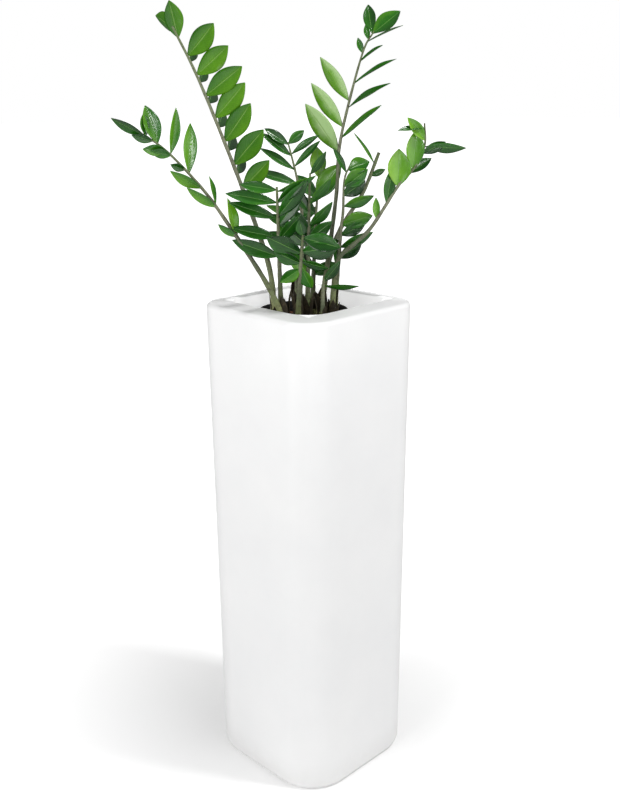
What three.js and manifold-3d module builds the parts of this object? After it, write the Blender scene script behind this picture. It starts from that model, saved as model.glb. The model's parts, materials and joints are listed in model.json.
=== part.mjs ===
// Tall square self-watering planter with a lift-out reservoir insert and a planted nursery pot.
// Millimetres, +Z up. The origin is the centre of the shell's flat underside, its sides along X and Y.

import * as THREE from "three";
import { mergeVertices } from "three/addons/utils/BufferGeometryUtils.js";
import Module from "manifold-3d";

const wasm = await Module();
wasm.setup();

// ---------------------------------------------------------------- driving dimensions

const GAP = 0.3; // kept between pieces that rest on each other

const SHELL = {
  height: 750,
  topHalf: 119.5, // half of the square's side under the rim
  baseHalf: 122,
  topCorner: 44.5, // corner radius in plan, which grows towards the base
  baseCorner: 68,
  rimDrop: 3.5, // fall of the rim's top from the mouth to its outer edge
  rimRound: 7,
  baseRound: 10.5,
  wall: 5,
  mouthHalf: 88,
  mouthCorner: 36,
  mouthRound: 4,
  ledgeTop: 690,
  ledgeThick: 4,
  ledgeHalf: 81.5,
};

const DRAIN = { x: 0, y: -60, hole: 6, recess: 13, recessDeep: 2.5, stem: 5.7, head: 12.5, stemTop: 8 };

const TUB = {
  bottom: 540,
  topHalf: 79,
  bottomHalf: 76.5,
  topCorner: 26.5,
  bottomCorner: 24,
  bottomRound: 6,
  wall: 2.5,
  flangeHalf: 87,
  flangeThick: 2.7,
};
const OVERFLOW = { y: 0, z: 600, hole: 4, stem: 3.7, stemLong: 7, head: 7, headThick: 1.5 };

const HANDLE = {
  half: 40,
  leg: 9,
  barLow: 679,
  top: 691.5,
  foot: 632,
  footHigh: 5,
  footOut: 3.5,
  inner: 72.9, // distance of its inner face from the middle
  thick: 1.8,
  travel: 45,
};

const PLATE = {
  top: 613.7,
  thick: 3,
  half: 74,
  corner: 21,
  notchHalf: 49.5,
  notchDepth: 4.5,
  perforation: 2,
};
const COLUMN = { reach: 42, half: 8, rib: 1.2 };

const FILLER = { x: 59, y: -59, outer: 9, inner: 7, low: 548, neck: 700, mouth: 15, top: 722 };
const LID = { radius: 15.5, thick: 2, chord: 12.5, hingeOut: 17.5, knuckle: 2.2, tab: 3.5, pin: 1 };

const GAUGE = { x: 59, y: 59, outer: 8, inner: 6.5, low: 545, joint: 678, top: 735 };
const FLOAT = { radius: 5.8, high: 24, rod: 1.2, tip: 4.5, tipHigh: 8 };

const POT = {
  x: -5.5,
  y: -5.5,
  rim: 66.5,
  rimHigh: 13,
  topRadius: 63,
  bottomRadius: 48,
  high: 120,
  wall: 1.7,
};
const POT_LOW = PLATE.top + GAP;
const POT_TOP = POT_LOW + POT.high;
const BARK = { top: 722, thick: 6 };
const WICK = { offset: 16, radius: 3, top: 640, low: 546, potHole: 4, plateHole: 4.5 };

// ---------------------------------------------------------------- geometry helpers

function toSolid(geometry) {
  const bare = geometry.index ? geometry.clone() : geometry;
  bare.deleteAttribute("normal");
  bare.deleteAttribute("uv");
  const merged = mergeVertices(bare, 1e-4);
  return new wasm.Manifold(
    new wasm.Mesh({
      numProp: 3,
      vertProperties: new Float32Array(merged.attributes.position.array),
      triVerts: new Uint32Array(merged.index.array),
    })
  );
}

function toGeometry(solid) {
  const mesh = solid.getMesh();
  const geometry = new THREE.BufferGeometry();
  geometry.setAttribute("position", new THREE.BufferAttribute(mesh.vertProperties, 3));
  geometry.setIndex(new THREE.BufferAttribute(mesh.triVerts, 1));
  geometry.computeVertexNormals();
  return geometry;
}

function cut(geometry, ...tools) {
  return toGeometry(tools.reduce((solid, tool) => solid.subtract(toSolid(tool)), toSolid(geometry)));
}

function join(geometry, ...others) {
  return toGeometry(others.reduce((solid, other) => solid.add(toSolid(other)), toSolid(geometry)));
}

function box(x0, x1, y0, y1, z0, z1) {
  const geometry = new THREE.BoxGeometry(x1 - x0, y1 - y0, z1 - z0);
  return geometry.translate((x0 + x1) / 2, (y0 + y1) / 2, (z0 + z1) / 2);
}

function uprightCylinder(radius, x, y, z0, z1, sides = 20) {
  const geometry = new THREE.CylinderGeometry(radius, radius, z1 - z0, sides);
  return geometry.rotateX(Math.PI / 2).translate(x, y, (z0 + z1) / 2);
}

// A cylinder along X, used for hinge knuckles, pins and holes through a side wall.
function crossCylinder(radius, x0, x1, y, z, sides = 16) {
  const geometry = new THREE.CylinderGeometry(radius, radius, x1 - x0, sides);
  return geometry.rotateZ(Math.PI / 2).translate((x0 + x1) / 2, y, z);
}

// Turns a list of [radius, z] points about a vertical axis. A list that does not start and end
// on the axis is closed on itself.
function turned(points, x, y, sides) {
  const outline = points.map(([radius, z]) => new THREE.Vector2(radius, z));
  if (points[0][0] > 0) outline.push(outline[0].clone());
  return new THREE.LatheGeometry(outline, sides).rotateX(Math.PI / 2).translate(x, y, 0);
}

// The outline of a square with round corners, anticlockwise.
function roundedSquare(half, corner, steps) {
  const points = [];
  for (let quarter = 0; quarter < 4; quarter++) {
    for (let step = 0; step <= steps; step++) {
      const angle = ((quarter + step / steps) * Math.PI) / 2;
      const centre = (quarter + 0.5) * (Math.PI / 2);
      const cx = Math.sign(Math.cos(centre)) * (half - corner);
      const cy = Math.sign(Math.sin(centre)) * (half - corner);
      points.push([cx + corner * Math.cos(angle), cy + corner * Math.sin(angle)]);
    }
  }
  return points;
}

// Joins rounded squares of the given [z, half side, corner radius] into one closed skin.
function loftedSquares(rings, steps) {
  const count = 4 * (steps + 1);
  const positions = [];
  for (const [z, half, corner] of rings) {
    for (const [x, y] of roundedSquare(half, corner, steps)) positions.push(x, y, z);
  }
  const index = [];
  for (let ring = 0; ring + 1 < rings.length; ring++) {
    for (let i = 0; i < count; i++) {
      const a = ring * count + i;
      const b = ring * count + ((i + 1) % count);
      index.push(a, b, b + count, a, b + count, a + count);
    }
  }
  const last = (rings.length - 1) * count;
  for (let i = 1; i + 1 < count; i++) {
    index.push(0, i + 1, i);
    index.push(last, last + i, last + i + 1);
  }
  const geometry = new THREE.BufferGeometry();
  geometry.setAttribute("position", new THREE.Float32BufferAttribute(positions, 3));
  geometry.setIndex(index);
  geometry.computeVertexNormals();
  return geometry;
}

function circlePoints(radius, sides, x = 0, y = 0) {
  const points = [];
  for (let side = 0; side < sides; side++) {
    const angle = (2 * Math.PI * side) / sides;
    points.push(new THREE.Vector2(x + radius * Math.cos(angle), y + radius * Math.sin(angle)));
  }
  return points;
}

function circleHole(x, y, radius, sides) {
  return new THREE.Path(circlePoints(radius, sides, x, y));
}

// ---------------------------------------------------------------- outer shell

// Rings of a quarter-round edge: half side and corner shrink as the edge turns inwards.
function edgeRings(z, half, corner, radius, from, to, steps) {
  const rings = [];
  for (let step = 0; step <= steps; step++) {
    const angle = from + ((to - from) * step) / steps;
    const inset = radius * (1 - Math.cos(angle));
    rings.push([z + radius * Math.sin(angle), half - inset, corner - inset]);
  }
  return rings;
}

function shellRings() {
  const s = SHELL;
  const quarter = Math.PI / 2;
  const rimZ = s.height - s.rimDrop - s.rimRound;
  const innerRimRound = s.rimRound - s.wall;
  const innerBaseRound = s.baseRound - s.wall;
  const collarHalf = s.mouthHalf + s.wall;
  const collarCorner = s.mouthCorner + s.wall;
  const mouthEdge = [];
  for (let step = 0; step <= 2; step++) {
    const angle = (quarter * step) / 2;
    const out = s.mouthRound * (1 - Math.sin(angle));
    mouthEdge.push([s.height - s.mouthRound * (1 - Math.cos(angle)), s.mouthHalf + out, s.mouthCorner + out]);
  }
  const ledgeCorner = s.mouthCorner - (s.mouthHalf - s.ledgeHalf);
  return [
    ...edgeRings(s.baseRound, s.baseHalf, s.baseCorner, s.baseRound, -quarter, 0, 3),
    [s.height / 3, ...sideAt(s.height / 3)],
    [(2 * s.height) / 3, ...sideAt((2 * s.height) / 3)],
    ...edgeRings(rimZ, s.topHalf, s.topCorner, s.rimRound, 0, quarter, 4),
    ...mouthEdge,
    [s.ledgeTop, s.mouthHalf, s.mouthCorner],
    [s.ledgeTop, s.ledgeHalf, ledgeCorner],
    [s.ledgeTop - s.ledgeThick, s.ledgeHalf, ledgeCorner],
    [s.ledgeTop - s.ledgeThick, collarHalf, collarCorner],
    [s.height - s.wall, collarHalf, collarCorner],
    ...edgeRings(rimZ, s.topHalf - s.wall, s.topCorner - s.wall, innerRimRound, quarter, 0, 3),
    ...edgeRings(s.baseRound, s.baseHalf - s.wall, s.baseCorner - s.wall, innerBaseRound, 0, -quarter, 2),
  ];
}

// Half side and corner radius of the shell's outside between its base edge and its rim.
function sideAt(z) {
  const s = SHELL;
  const t = (z - s.baseRound) / (s.height - s.rimDrop - s.rimRound - s.baseRound);
  return [THREE.MathUtils.lerp(s.baseHalf, s.topHalf, t), THREE.MathUtils.lerp(s.baseCorner, s.topCorner, t)];
}

function outerShell() {
  const hole = uprightCylinder(DRAIN.hole, DRAIN.x, DRAIN.y, -1, SHELL.wall + 1);
  const recess = uprightCylinder(DRAIN.recess, DRAIN.x, DRAIN.y, -1, DRAIN.recessDeep, 24);
  return cut(loftedSquares(shellRings(), 6), hole, recess);
}

function baseDrainPlug() {
  const head = DRAIN.recessDeep - GAP;
  return turned(
    [
      [0, GAP],
      [DRAIN.head, GAP],
      [DRAIN.head, head],
      [DRAIN.stem, head],
      [DRAIN.stem, DRAIN.stemTop],
      [0, DRAIN.stemTop],
    ],
    DRAIN.x,
    DRAIN.y,
    20
  );
}

// ---------------------------------------------------------------- lift-out reservoir liner

function tubHalfAt(z) {
  const low = TUB.bottom + TUB.bottomRound;
  const t = (z - low) / (SHELL.ledgeTop - low);
  return THREE.MathUtils.lerp(TUB.bottomHalf, TUB.topHalf, t);
}

function linerRings() {
  const quarter = Math.PI / 2;
  const low = TUB.bottom + TUB.bottomRound;
  const flangeLow = SHELL.ledgeTop + GAP;
  const flangeTop = flangeLow + TUB.flangeThick;
  const flangeCorner = TUB.topCorner + TUB.flangeHalf - TUB.topHalf;
  return [
    ...edgeRings(low, TUB.bottomHalf, TUB.bottomCorner, TUB.bottomRound, -quarter, 0, 3),
    [flangeLow, TUB.topHalf, TUB.topCorner],
    [flangeLow, TUB.flangeHalf, flangeCorner],
    [flangeTop, TUB.flangeHalf, flangeCorner],
    [flangeTop, TUB.topHalf - TUB.wall, TUB.topCorner - TUB.wall],
    ...edgeRings(
      low,
      TUB.bottomHalf - TUB.wall,
      TUB.bottomCorner - TUB.wall,
      TUB.bottomRound - TUB.wall,
      0,
      -quarter,
      2
    ),
  ];
}

// A lipped channel that keeps one edge of a handle against the wall; side is the wall's sign in X,
// edge the sign in Y of the handle edge that it holds.
function handleGuide(side, edge) {
  const low = HANDLE.foot + HANDLE.footHigh + HANDLE.travel + 0.5;
  const high = SHELL.ledgeTop;
  const wallSide = tubHalfAt(low) - TUB.wall + 1.2;
  const back = HANDLE.inner - 1.5;
  const y0 = HANDLE.half + 0.4;
  const post = box(back, wallSide, y0, y0 + 3, low, high);
  const lip = box(back, HANDLE.inner - 0.4, y0 - 2, y0 + 1, low, high);
  const guide = join(post, lip);
  return placedOnSide(guide, side, edge);
}

// Mirrors a geometry built on the +X wall, +Y half, to the given signs.
function placedOnSide(geometry, side, edge) {
  const moved = geometry.clone().scale(side, edge, 1);
  if (side * edge < 0) flipFaces(moved);
  return moved;
}

function flipFaces(geometry) {
  const index = geometry.index.array;
  for (let i = 0; i < index.length; i += 3) {
    const first = index[i];
    index[i] = index[i + 1];
    index[i + 1] = first;
  }
}

function linerTub() {
  const guides = [];
  for (const side of [-1, 1]) for (const edge of [-1, 1]) guides.push(handleGuide(side, edge));
  const tub = join(loftedSquares(linerRings(), 6), ...guides);
  return cut(tub, crossCylinder(OVERFLOW.hole, -TUB.topHalf - 2, -TUB.topHalf + 10, OVERFLOW.y, OVERFLOW.z));
}

function overflowPlug() {
  const face = -tubHalfAt(OVERFLOW.z) - 0.5;
  const head = crossCylinder(OVERFLOW.head, face - OVERFLOW.headThick, face, OVERFLOW.y, OVERFLOW.z);
  const stem = crossCylinder(OVERFLOW.stem, face - 0.5, face + OVERFLOW.stemLong, OVERFLOW.y, OVERFLOW.z);
  return join(head, stem);
}

// A flat U-shaped strap with two feet that stop it under the guides when it is pulled up.
function linerHandle(side) {
  const h = HANDLE;
  const inside = h.half - h.leg;
  const outline = [
    [h.half, h.foot + h.footHigh],
    [h.half, h.top - 4],
    [h.half - 4, h.top],
  ];
  const footEdge = [
    [inside, h.barLow],
    [inside, h.foot],
    [h.half + h.footOut, h.foot],
    [h.half + h.footOut, h.foot + h.footHigh],
  ];
  const right = [...footEdge, ...outline];
  const left = right.map(([y, z]) => [-y, z]).reverse();
  const shape = new THREE.Shape([...right, ...left].map(([y, z]) => new THREE.Vector2(y, z)));
  const flat = new THREE.ExtrudeGeometry(shape, { depth: h.thick, bevelEnabled: false });
  // Stands the outline up: its x becomes Y, its y becomes Z and the thickness runs along +X.
  flat.rotateX(Math.PI / 2).rotateZ(Math.PI / 2).translate(h.inner, 0, 0);
  if (side < 0) flat.rotateZ(Math.PI);
  return flat;
}

// ---------------------------------------------------------------- separator platform

function separatorPlatform() {
  const p = PLATE;
  const outline = [];
  for (const [x, y] of roundedSquare(p.half, p.corner, 5)) outline.push(new THREE.Vector2(x, y));
  const notched = notchSides(outline);
  const shape = new THREE.Shape(notched);
  for (const [x, y] of wickPlaces()) shape.holes.push(circleHole(x, y, WICK.plateHole, 10));
  shape.holes.push(circleHole(FILLER.x, FILLER.y, FILLER.outer + 0.6, 14));
  shape.holes.push(circleHole(GAUGE.x, GAUGE.y, GAUGE.outer + 0.6, 14));
  for (const reach of [12, 32, 56]) {
    for (let step = 0; step < 4; step++) {
      const angle = (step * Math.PI) / 2 + (reach === 32 ? 0.5 : Math.PI / 12);
      const x = POT.x + reach * Math.cos(angle);
      const y = POT.y + reach * Math.sin(angle);
      shape.holes.push(circleHole(x, y, p.perforation, 6));
    }
  }
  const plate = new THREE.ExtrudeGeometry(shape, { depth: p.thick, bevelEnabled: false });
  return plate.translate(0, 0, p.top - p.thick);
}

// Steps the outline in on the two X sides, so that the plate lifts past the handles and guides.
function notchSides(outline) {
  const notched = [];
  outline.forEach((point, i) => {
    notched.push(point);
    const next = outline[(i + 1) % outline.length];
    if (Math.abs(point.x - next.x) < 1e-6 && Math.abs(point.x) > PLATE.half - 1) {
      const side = Math.sign(point.x);
      const way = Math.sign(next.y - point.y);
      const inner = side * (PLATE.half - PLATE.notchDepth);
      notched.push(new THREE.Vector2(point.x, -way * PLATE.notchHalf));
      notched.push(new THREE.Vector2(inner, -way * PLATE.notchHalf));
      notched.push(new THREE.Vector2(inner, way * PLATE.notchHalf));
      notched.push(new THREE.Vector2(point.x, way * PLATE.notchHalf));
    }
  });
  return notched;
}

// A cross-shaped post that stands on the liner's floor and carries the plate under the pot.
function supportColumn(number) {
  const angle = (number * Math.PI) / 2;
  const { half, rib } = COLUMN;
  const points = [];
  for (let arm = 0; arm < 4; arm++) {
    const turn = (arm * Math.PI) / 2;
    for (const [x, y] of [[half, -rib], [half, rib], [rib, rib]]) {
      const rx = x * Math.cos(turn) - y * Math.sin(turn);
      const ry = x * Math.sin(turn) + y * Math.cos(turn);
      points.push(new THREE.Vector2(rx, ry));
    }
  }
  const low = TUB.bottom + TUB.wall + GAP;
  const high = PLATE.top - PLATE.thick - GAP;
  const post = new THREE.ExtrudeGeometry(new THREE.Shape(points), { depth: high - low, bevelEnabled: false });
  return post.translate(POT.x + COLUMN.reach * Math.cos(angle), POT.y + COLUMN.reach * Math.sin(angle), low);
}

// ---------------------------------------------------------------- filler and its lid

const HINGE_Y = FILLER.y - LID.hingeOut;
const HINGE_Z = FILLER.top + GAP + LID.thick / 2;

function fillerTube() {
  const f = FILLER;
  const rest = PLATE.top + GAP;
  const tube = turned(
    [
      [f.inner, f.low],
      [f.outer, f.low],
      [f.outer, rest],
      [f.outer + 2.5, rest],
      [f.outer + 2.5, rest + 2],
      [f.outer, rest + 2],
      [f.outer, f.neck],
      [f.mouth, f.top - 6],
      [f.mouth, f.top],
      [f.mouth - 2, f.top],
      [f.mouth - 2, f.top - 5.2],
      [f.inner, f.neck + 0.8],
    ],
    f.x,
    f.y,
    14
  );
  const ears = [];
  for (const side of [-1, 1]) {
    const near = f.x + side * (LID.tab + 0.3);
    const far = near + side * 3.2;
    const [x0, x1] = [Math.min(near, far), Math.max(near, far)];
    ears.push(box(x0, x1, HINGE_Y - 2.2, HINGE_Y + 2.2, f.top - 8, HINGE_Z));
    ears.push(crossCylinder(2.2, x0, x1, HINGE_Y, HINGE_Z, 12));
    ears.push(box(x0, x1, HINGE_Y - 1, f.y - f.mouth + 1.2, f.top - 8, f.top - 2));
  }
  const bore = crossCylinder(LID.pin + 0.2, f.x - 12, f.x + 12, HINGE_Y, HINGE_Z, 12);
  return cut(join(tube, ...ears), bore);
}

function fillerLid() {
  const { radius, chord, thick, tab, knuckle } = LID;
  const half = Math.sqrt(radius * radius - chord * chord);
  const start = Math.atan2(-chord, half);
  const end = Math.PI - start;
  const outline = [];
  for (let step = 0; step <= 16; step++) {
    const angle = start + ((end - start) * step) / 16;
    outline.push([radius * Math.cos(angle), radius * Math.sin(angle)]);
  }
  outline.push([-tab, -chord], [-tab, -LID.hingeOut], [tab, -LID.hingeOut], [tab, -chord]);
  const shape = new THREE.Shape(outline.map(([x, y]) => new THREE.Vector2(x, y)));
  const disc = new THREE.ExtrudeGeometry(shape, { depth: thick, bevelEnabled: false });
  disc.translate(FILLER.x, FILLER.y, FILLER.top + GAP);
  const barrel = crossCylinder(knuckle, FILLER.x - tab, FILLER.x + tab, HINGE_Y, HINGE_Z, 12);
  const bore = crossCylinder(LID.pin + 0.2, FILLER.x - 12, FILLER.x + 12, HINGE_Y, HINGE_Z, 12);
  return cut(join(disc, barrel), bore);
}

function lidHingePin() {
  return crossCylinder(LID.pin, FILLER.x - 7.5, FILLER.x + 7.5, HINGE_Y, HINGE_Z, 10);
}

// ---------------------------------------------------------------- water level gauge

function gaugeTube() {
  const g = GAUGE;
  const rest = PLATE.top + GAP;
  return turned(
    [
      [g.inner - 1.5, g.low],
      [g.outer, g.low],
      [g.outer, rest],
      [g.outer + 2.5, rest],
      [g.outer + 2.5, rest + 2],
      [g.outer, rest + 2],
      [g.outer, g.joint],
      [g.inner, g.joint],
      [g.inner, g.low + 2],
      [g.inner - 1.5, g.low + 2],
    ],
    g.x,
    g.y,
    12
  );
}

// The clear cap in which the red tip is read; open below, domed above.
function gaugeHead() {
  const g = GAUGE;
  return turned(
    [
      [0, g.top - 1.5],
      [g.inner - 2, g.top - 2.2],
      [g.inner, g.top - 5],
      [g.inner, g.joint + GAP],
      [g.outer, g.joint + GAP],
      [g.outer, g.top - 5],
      [g.outer - 2.2, g.top - 1],
      [0, g.top],
    ],
    g.x,
    g.y,
    12
  );
}

const FLOAT_LOW = GAUGE.low + 2 + GAP;
const TIP_LOW = GAUGE.joint + 1;

function gaugeFloat() {
  return uprightCylinder(FLOAT.radius, GAUGE.x, GAUGE.y, FLOAT_LOW, FLOAT_LOW + FLOAT.high, 14);
}

function floatRod() {
  return uprightCylinder(FLOAT.rod, GAUGE.x, GAUGE.y, FLOAT_LOW + FLOAT.high + GAP, TIP_LOW - GAP, 8);
}

function indicatorTip() {
  return uprightCylinder(FLOAT.tip, GAUGE.x, GAUGE.y, TIP_LOW, TIP_LOW + FLOAT.tipHigh, 12);
}

// ---------------------------------------------------------------- nursery pot, soil, bark and wicks

function wickPlaces() {
  const step = WICK.offset / Math.SQRT2;
  return [
    [POT.x - step, POT.y + step],
    [POT.x + step, POT.y - step],
  ];
}

// Outside radius of the pot's body at a height.
function potRadiusAt(z) {
  const t = (z - POT_LOW) / (POT_TOP - POT.rimHigh - POT_LOW);
  return THREE.MathUtils.lerp(POT.bottomRadius, POT.topRadius, t);
}

function growPot() {
  const under = POT_TOP - POT.rimHigh;
  const floor = POT_LOW + 2;
  const body = turned(
    [
      [0, POT_LOW],
      [POT.bottomRadius, POT_LOW],
      [POT.topRadius, under],
      [POT.rim, under],
      [POT.rim, POT_TOP],
      [POT.rim - POT.wall, POT_TOP],
      [POT.rim - POT.wall, under + 2],
      [potRadiusAt(under) - POT.wall, under + 2],
      [potRadiusAt(floor) - POT.wall, floor],
      [0, floor],
    ],
    POT.x,
    POT.y,
    24
  );
  const holes = wickPlaces().map(([x, y]) => uprightCylinder(WICK.potHole, x, y, POT_LOW - 1, floor + 1, 10));
  for (let step = 0; step < 6; step++) {
    const angle = ((step + 0.5) * Math.PI) / 3;
    const x = POT.x + 34 * Math.cos(angle);
    const y = POT.y + 34 * Math.sin(angle);
    holes.push(uprightCylinder(4, x, y, POT_LOW - 1, floor + 1, 8));
  }
  return cut(body, ...holes);
}

function pottingSoil() {
  const low = POT_LOW + 2 + GAP;
  const high = BARK.top - BARK.thick - GAP;
  const inset = POT.wall + GAP + 0.3;
  const body = turned(
    [
      [0, low],
      [potRadiusAt(low) - inset, low],
      [potRadiusAt(high) - inset, high],
      [0, high],
    ],
    POT.x,
    POT.y,
    24
  );
  const bore = WICK.radius + 0.5;
  const bores = wickPlaces().map(([x, y]) => uprightCylinder(bore, x, y, low - 1, WICK.top + 2, 10));
  return cut(body, ...bores);
}

function barkMulch() {
  const low = BARK.top - BARK.thick;
  return turned(
    [
      [0, low],
      [potRadiusAt(low) - POT.wall - 0.6, low],
      [potRadiusAt(BARK.top - 2) - POT.wall - 0.8, BARK.top - 2],
      [POT.rim * 0.6, BARK.top],
      [0, BARK.top],
    ],
    POT.x,
    POT.y,
    24
  );
}

// A tube of the given number of sides along a smooth curve through the points.
function tubeAlong(points, radius, sides, steps) {
  const extrudePath = new THREE.CatmullRomCurve3(points);
  const circle = new THREE.Shape(circlePoints(radius, sides));
  return new THREE.ExtrudeGeometry(circle, { steps, bevelEnabled: false, extrudePath });
}

function wick(x, y) {
  const points = [];
  const step = (WICK.top - WICK.low) / 4;
  for (let z = WICK.top; z >= WICK.low; z -= step) points.push(new THREE.Vector3(x, y, z));
  return tubeAlong(points, WICK.radius, 8, 8);
}

// ---------------------------------------------------------------- the plant's fronds

// Every frond rises from the bark at (x, y) and leans towards `lean`, in degrees anticlockwise from +X,
// through [reach, rise] points. Its upper side looks towards `face`, in degrees, and `thick` scales the
// thin end of its stalk. The `left` and `right` rows, as seen from that side, and the leaves at the `tip`
// have an entry for each leaf: the share of the stalk where it grows, its angle off the stalk, its length
// and width, and the turn of its blade about its own midrib. At the tip a positive angle is to the right.
// The two rows are raised by `lift` degrees towards the upper side.
const FRONDS = [
  { x: -25, y: -46, lean: 217, face: 80, lift: [50, 50], thick: 1.3,
    path: [[6, 75], [37, 172], [69, 258], [103, 342], [134, 405]],
    left: [[0.45, 65, 56, 26, 0], [0.53, 61, 66, 31, 0], [0.61, 59, 65, 31, 0], [0.69, 66, 65, 30, 0],
      [0.765, 75, 66, 30, 0], [0.835, 75, 60, 30, 0], [0.9, 72, 57, 31, 0], [0.96, 14, 50, 27, 0]],
    right: [[0.5, 60, 55, 24, 0], [0.58, 62, 55, 24, 0], [0.66, 64, 55, 24, 0], [0.74, 62, 52, 23, 0],
      [0.81, 60, 50, 22, 0], [0.88, 55, 46, 20, 0]],
    tip: [[0.99, 42, 44, 27, 0]] },
  { x: 1, y: -49, lean: 244, face: 335, lift: [10, 15], thick: 1,
    path: [[30, 63], [85, 151], [117, 196], [161, 244], [192, 267]],
    left: [[0.43, 25, 34, 12, -60], [0.58, 24, 52, 15, -60], [0.68, 27, 52, 16, -55],
      [0.78, 30, 23, 11, -40], [0.86, 36, 31, 14, -45], [0.89, 42, 34, 15, -30], [0.95, 20, 31, 12, -50]],
    right: [[0.43, 23, 55, 18, 30], [0.59, 28, 41, 13, 50], [0.76, 47, 66, 19, 0],
      [0.865, 59, 61, 16, 20], [0.93, 40, 51, 23, 0], [0.985, 52, 29, 13, 0]],
    tip: [[0.99, -10, 49, 14, -55]] },
  { x: -14, y: -42, lean: 313, face: 315, lift: [5, 10], thick: 1.4,
    path: [[25, 80], [40, 138], [55, 195]],
    left: [[0.5, 68, 70, 22, 10], [0.64, 76, 68, 19, 45], [0.78, 69, 71, 18, 40], [0.89, 75, 72, 19, 35],
      [0.98, 79, 51, 16, 20]],
    right: [[0.62, 40, 48, 20, 20], [0.72, 34, 60, 20, -15], [0.79, 37, 68, 21, 10],
      [0.89, 47, 52, 17, 10], [0.97, 67, 59, 17, 35]],
    tip: [] },
  { x: 12, y: -34, lean: 323, face: 315, lift: [15, 15], thick: 1.4,
    path: [[31, 74], [51, 109], [66, 134]],
    left: [[0.66, 60, 45, 20, 0], [0.78, 57, 59, 29, 0], [0.6, 130, 36, 20, 10]],
    right: [[0.62, 150, 38, 22, 0], [0.69, 92, 40, 21, 15], [0.8, 64, 55, 29, 0],
      [0.96, 88, 54, 25, -50]],
    tip: [[0.98, -14, 27, 14, 0]] },
  { x: 4, y: -6, lean: 326, face: 315, lift: [20, 20], thick: 1.2,
    path: [[8, 80], [15, 135], [20, 171], [28, 210]],
    left: [[0.32, 46, 42, 21, 0], [0.5, 48, 46, 20, 0], [0.6, 41, 46, 20, 0], [0.74, 34, 46, 18, 20]],
    right: [[0.55, 50, 46, 19, 10], [0.64, 45, 51, 18, 40], [0.79, 40, 51, 17, 45]],
    tip: [[0.99, 35, 39, 13, 20]] },
  { x: -17, y: -3, lean: 225, face: 315, lift: [10, 10], thick: 1,
    path: [[-6, 115], [-4, 170], [2, 205], [13, 250]],
    left: [[0.3, 60, 44, 20, 0], [0.44, 58, 44, 20, 0], [0.76, 60, 66, 16, 30], [0.84, 46, 60, 15, 35],
      [0.92, 40, 54, 16, 30], [0.985, 43, 41, 15, 20]],
    right: [[0.36, 58, 44, 20, 0], [0.86, 60, 52, 12, -35], [0.93, 70, 48, 12, -35],
      [0.99, 63, 29, 14, 0]],
    tip: [] },
  { x: 2, y: 24, lean: 69, face: 300, lift: [10, 10], thick: 1,
    path: [[25, 167], [30, 236], [43, 293], [68, 372], [85, 399]],
    left: [[0.575, 42, 82, 27, 180], [0.66, 50, 76, 21, 180], [0.75, 49, 74, 20, 180],
      [0.915, 36, 23, 9, 0], [0.965, 42, 22, 9, 0]],
    right: [[0.62, 44, 75, 20, -45], [0.725, 47, 71, 19, -45], [0.81, 47, 69, 17, -50],
      [0.885, 40, 39, 13, -45], [0.955, 42, 55, 14, -62]],
    tip: [[0.99, -44, 47, 18, 0], [0.99, 20, 50, 26, 0]] },
  { x: 31, y: 17, lean: 45, face: 315, lift: [20, 10], thick: 1,
    path: [[8, 80], [31, 106], [57, 131], [96, 191], [118, 215], [131, 245], [130, 275]],
    left: [[0.52, 37, 31, 11, 0], [0.6, 24, 52, 17, 0], [0.69, 31, 52, 34, 0], [0.79, 35, 54, 26, 0],
      [0.925, 41, 42, 17, 5], [0.98, 84, 42, 11, 55]],
    right: [[0.77, 8, 36, 16, 0], [0.87, 45, 36, 15, 20], [0.9, 80, 58, 17, 35]],
    tip: [] },
  { x: -10, y: 32, lean: 66, face: 315, lift: [10, 10], thick: 2.1,
    path: [[27, 106], [71, 173], [97, 231]],
    left: [[0.93, 53, 54, 12, 60]],
    right: [[0.86, 50, 24, 10, 20]],
    tip: [] },
  { x: 27, y: 27, lean: 75, face: 315, lift: [30, 10], thick: 1,
    path: [[11, 120], [15, 151], [17, 196], [26, 216]],
    left: [[0.32, 12, 35, 12, 0], [0.95, 55, 40, 12, 20]],
    right: [[0.39, 53, 40, 19, 15], [0.46, 63, 54, 18, 30], [0.54, 60, 42, 18, 10], [0.61, 66, 47, 24, 0],
      [0.73, 71, 47, 18, 30], [0.8, 55, 38, 23, 10], [0.86, 54, 42, 24, 0], [0.97, 43, 33, 25, 0]],
    tip: [] },
  { x: -17, y: 25, lean: 96, face: 315, lift: [20, 20], thick: 1,
    path: [[10, 138], [20, 200]],
    left: [[0.34, 62, 40, 20, 0], [0.5, 60, 46, 22, 0], [0.72, 55, 48, 22, 0], [0.84, 50, 45, 20, 0]],
    right: [[0.28, 60, 40, 19, 0], [0.43, 58, 44, 21, 0], [0.83, 29, 61, 32, 0]],
    tip: [[0.98, -10, 46, 24, 0]] },
  { x: 36, y: -8, lean: 45, face: 330, lift: [10, 10], thick: 1.4,
    path: [[1, 30], [2, 54], [3, 66]],
    left: [],
    right: [[0.78, 93, 53, 13, 45], [0.86, 38, 38, 16, 20]],
    tip: [] },
  { x: -36, y: 12, lean: 140, face: 315, lift: [15, 15], thick: 1,
    path: [[8, 70], [36, 118], [78, 148]],
    left: [[0.55, 64, 50, 22, 0], [0.7, 60, 50, 22, 10], [0.84, 56, 48, 20, 0]],
    right: [[0.6, 58, 48, 20, 0], [0.75, 55, 48, 20, 0], [0.9, 50, 44, 18, 0]],
    tip: [[0.98, 0, 40, 18, 0]] },
];
const STALK = { base: 4.2, tip: 1.4, sides: 5, steps: 12 };
const LEAF_THICK = 0.8; // from the middle of a leaf to either face
const FACE_RISE = 0.45; // how far an upper side looks upwards, for 1 outwards

function radians(degrees) {
  return (degrees * Math.PI) / 180;
}

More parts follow.
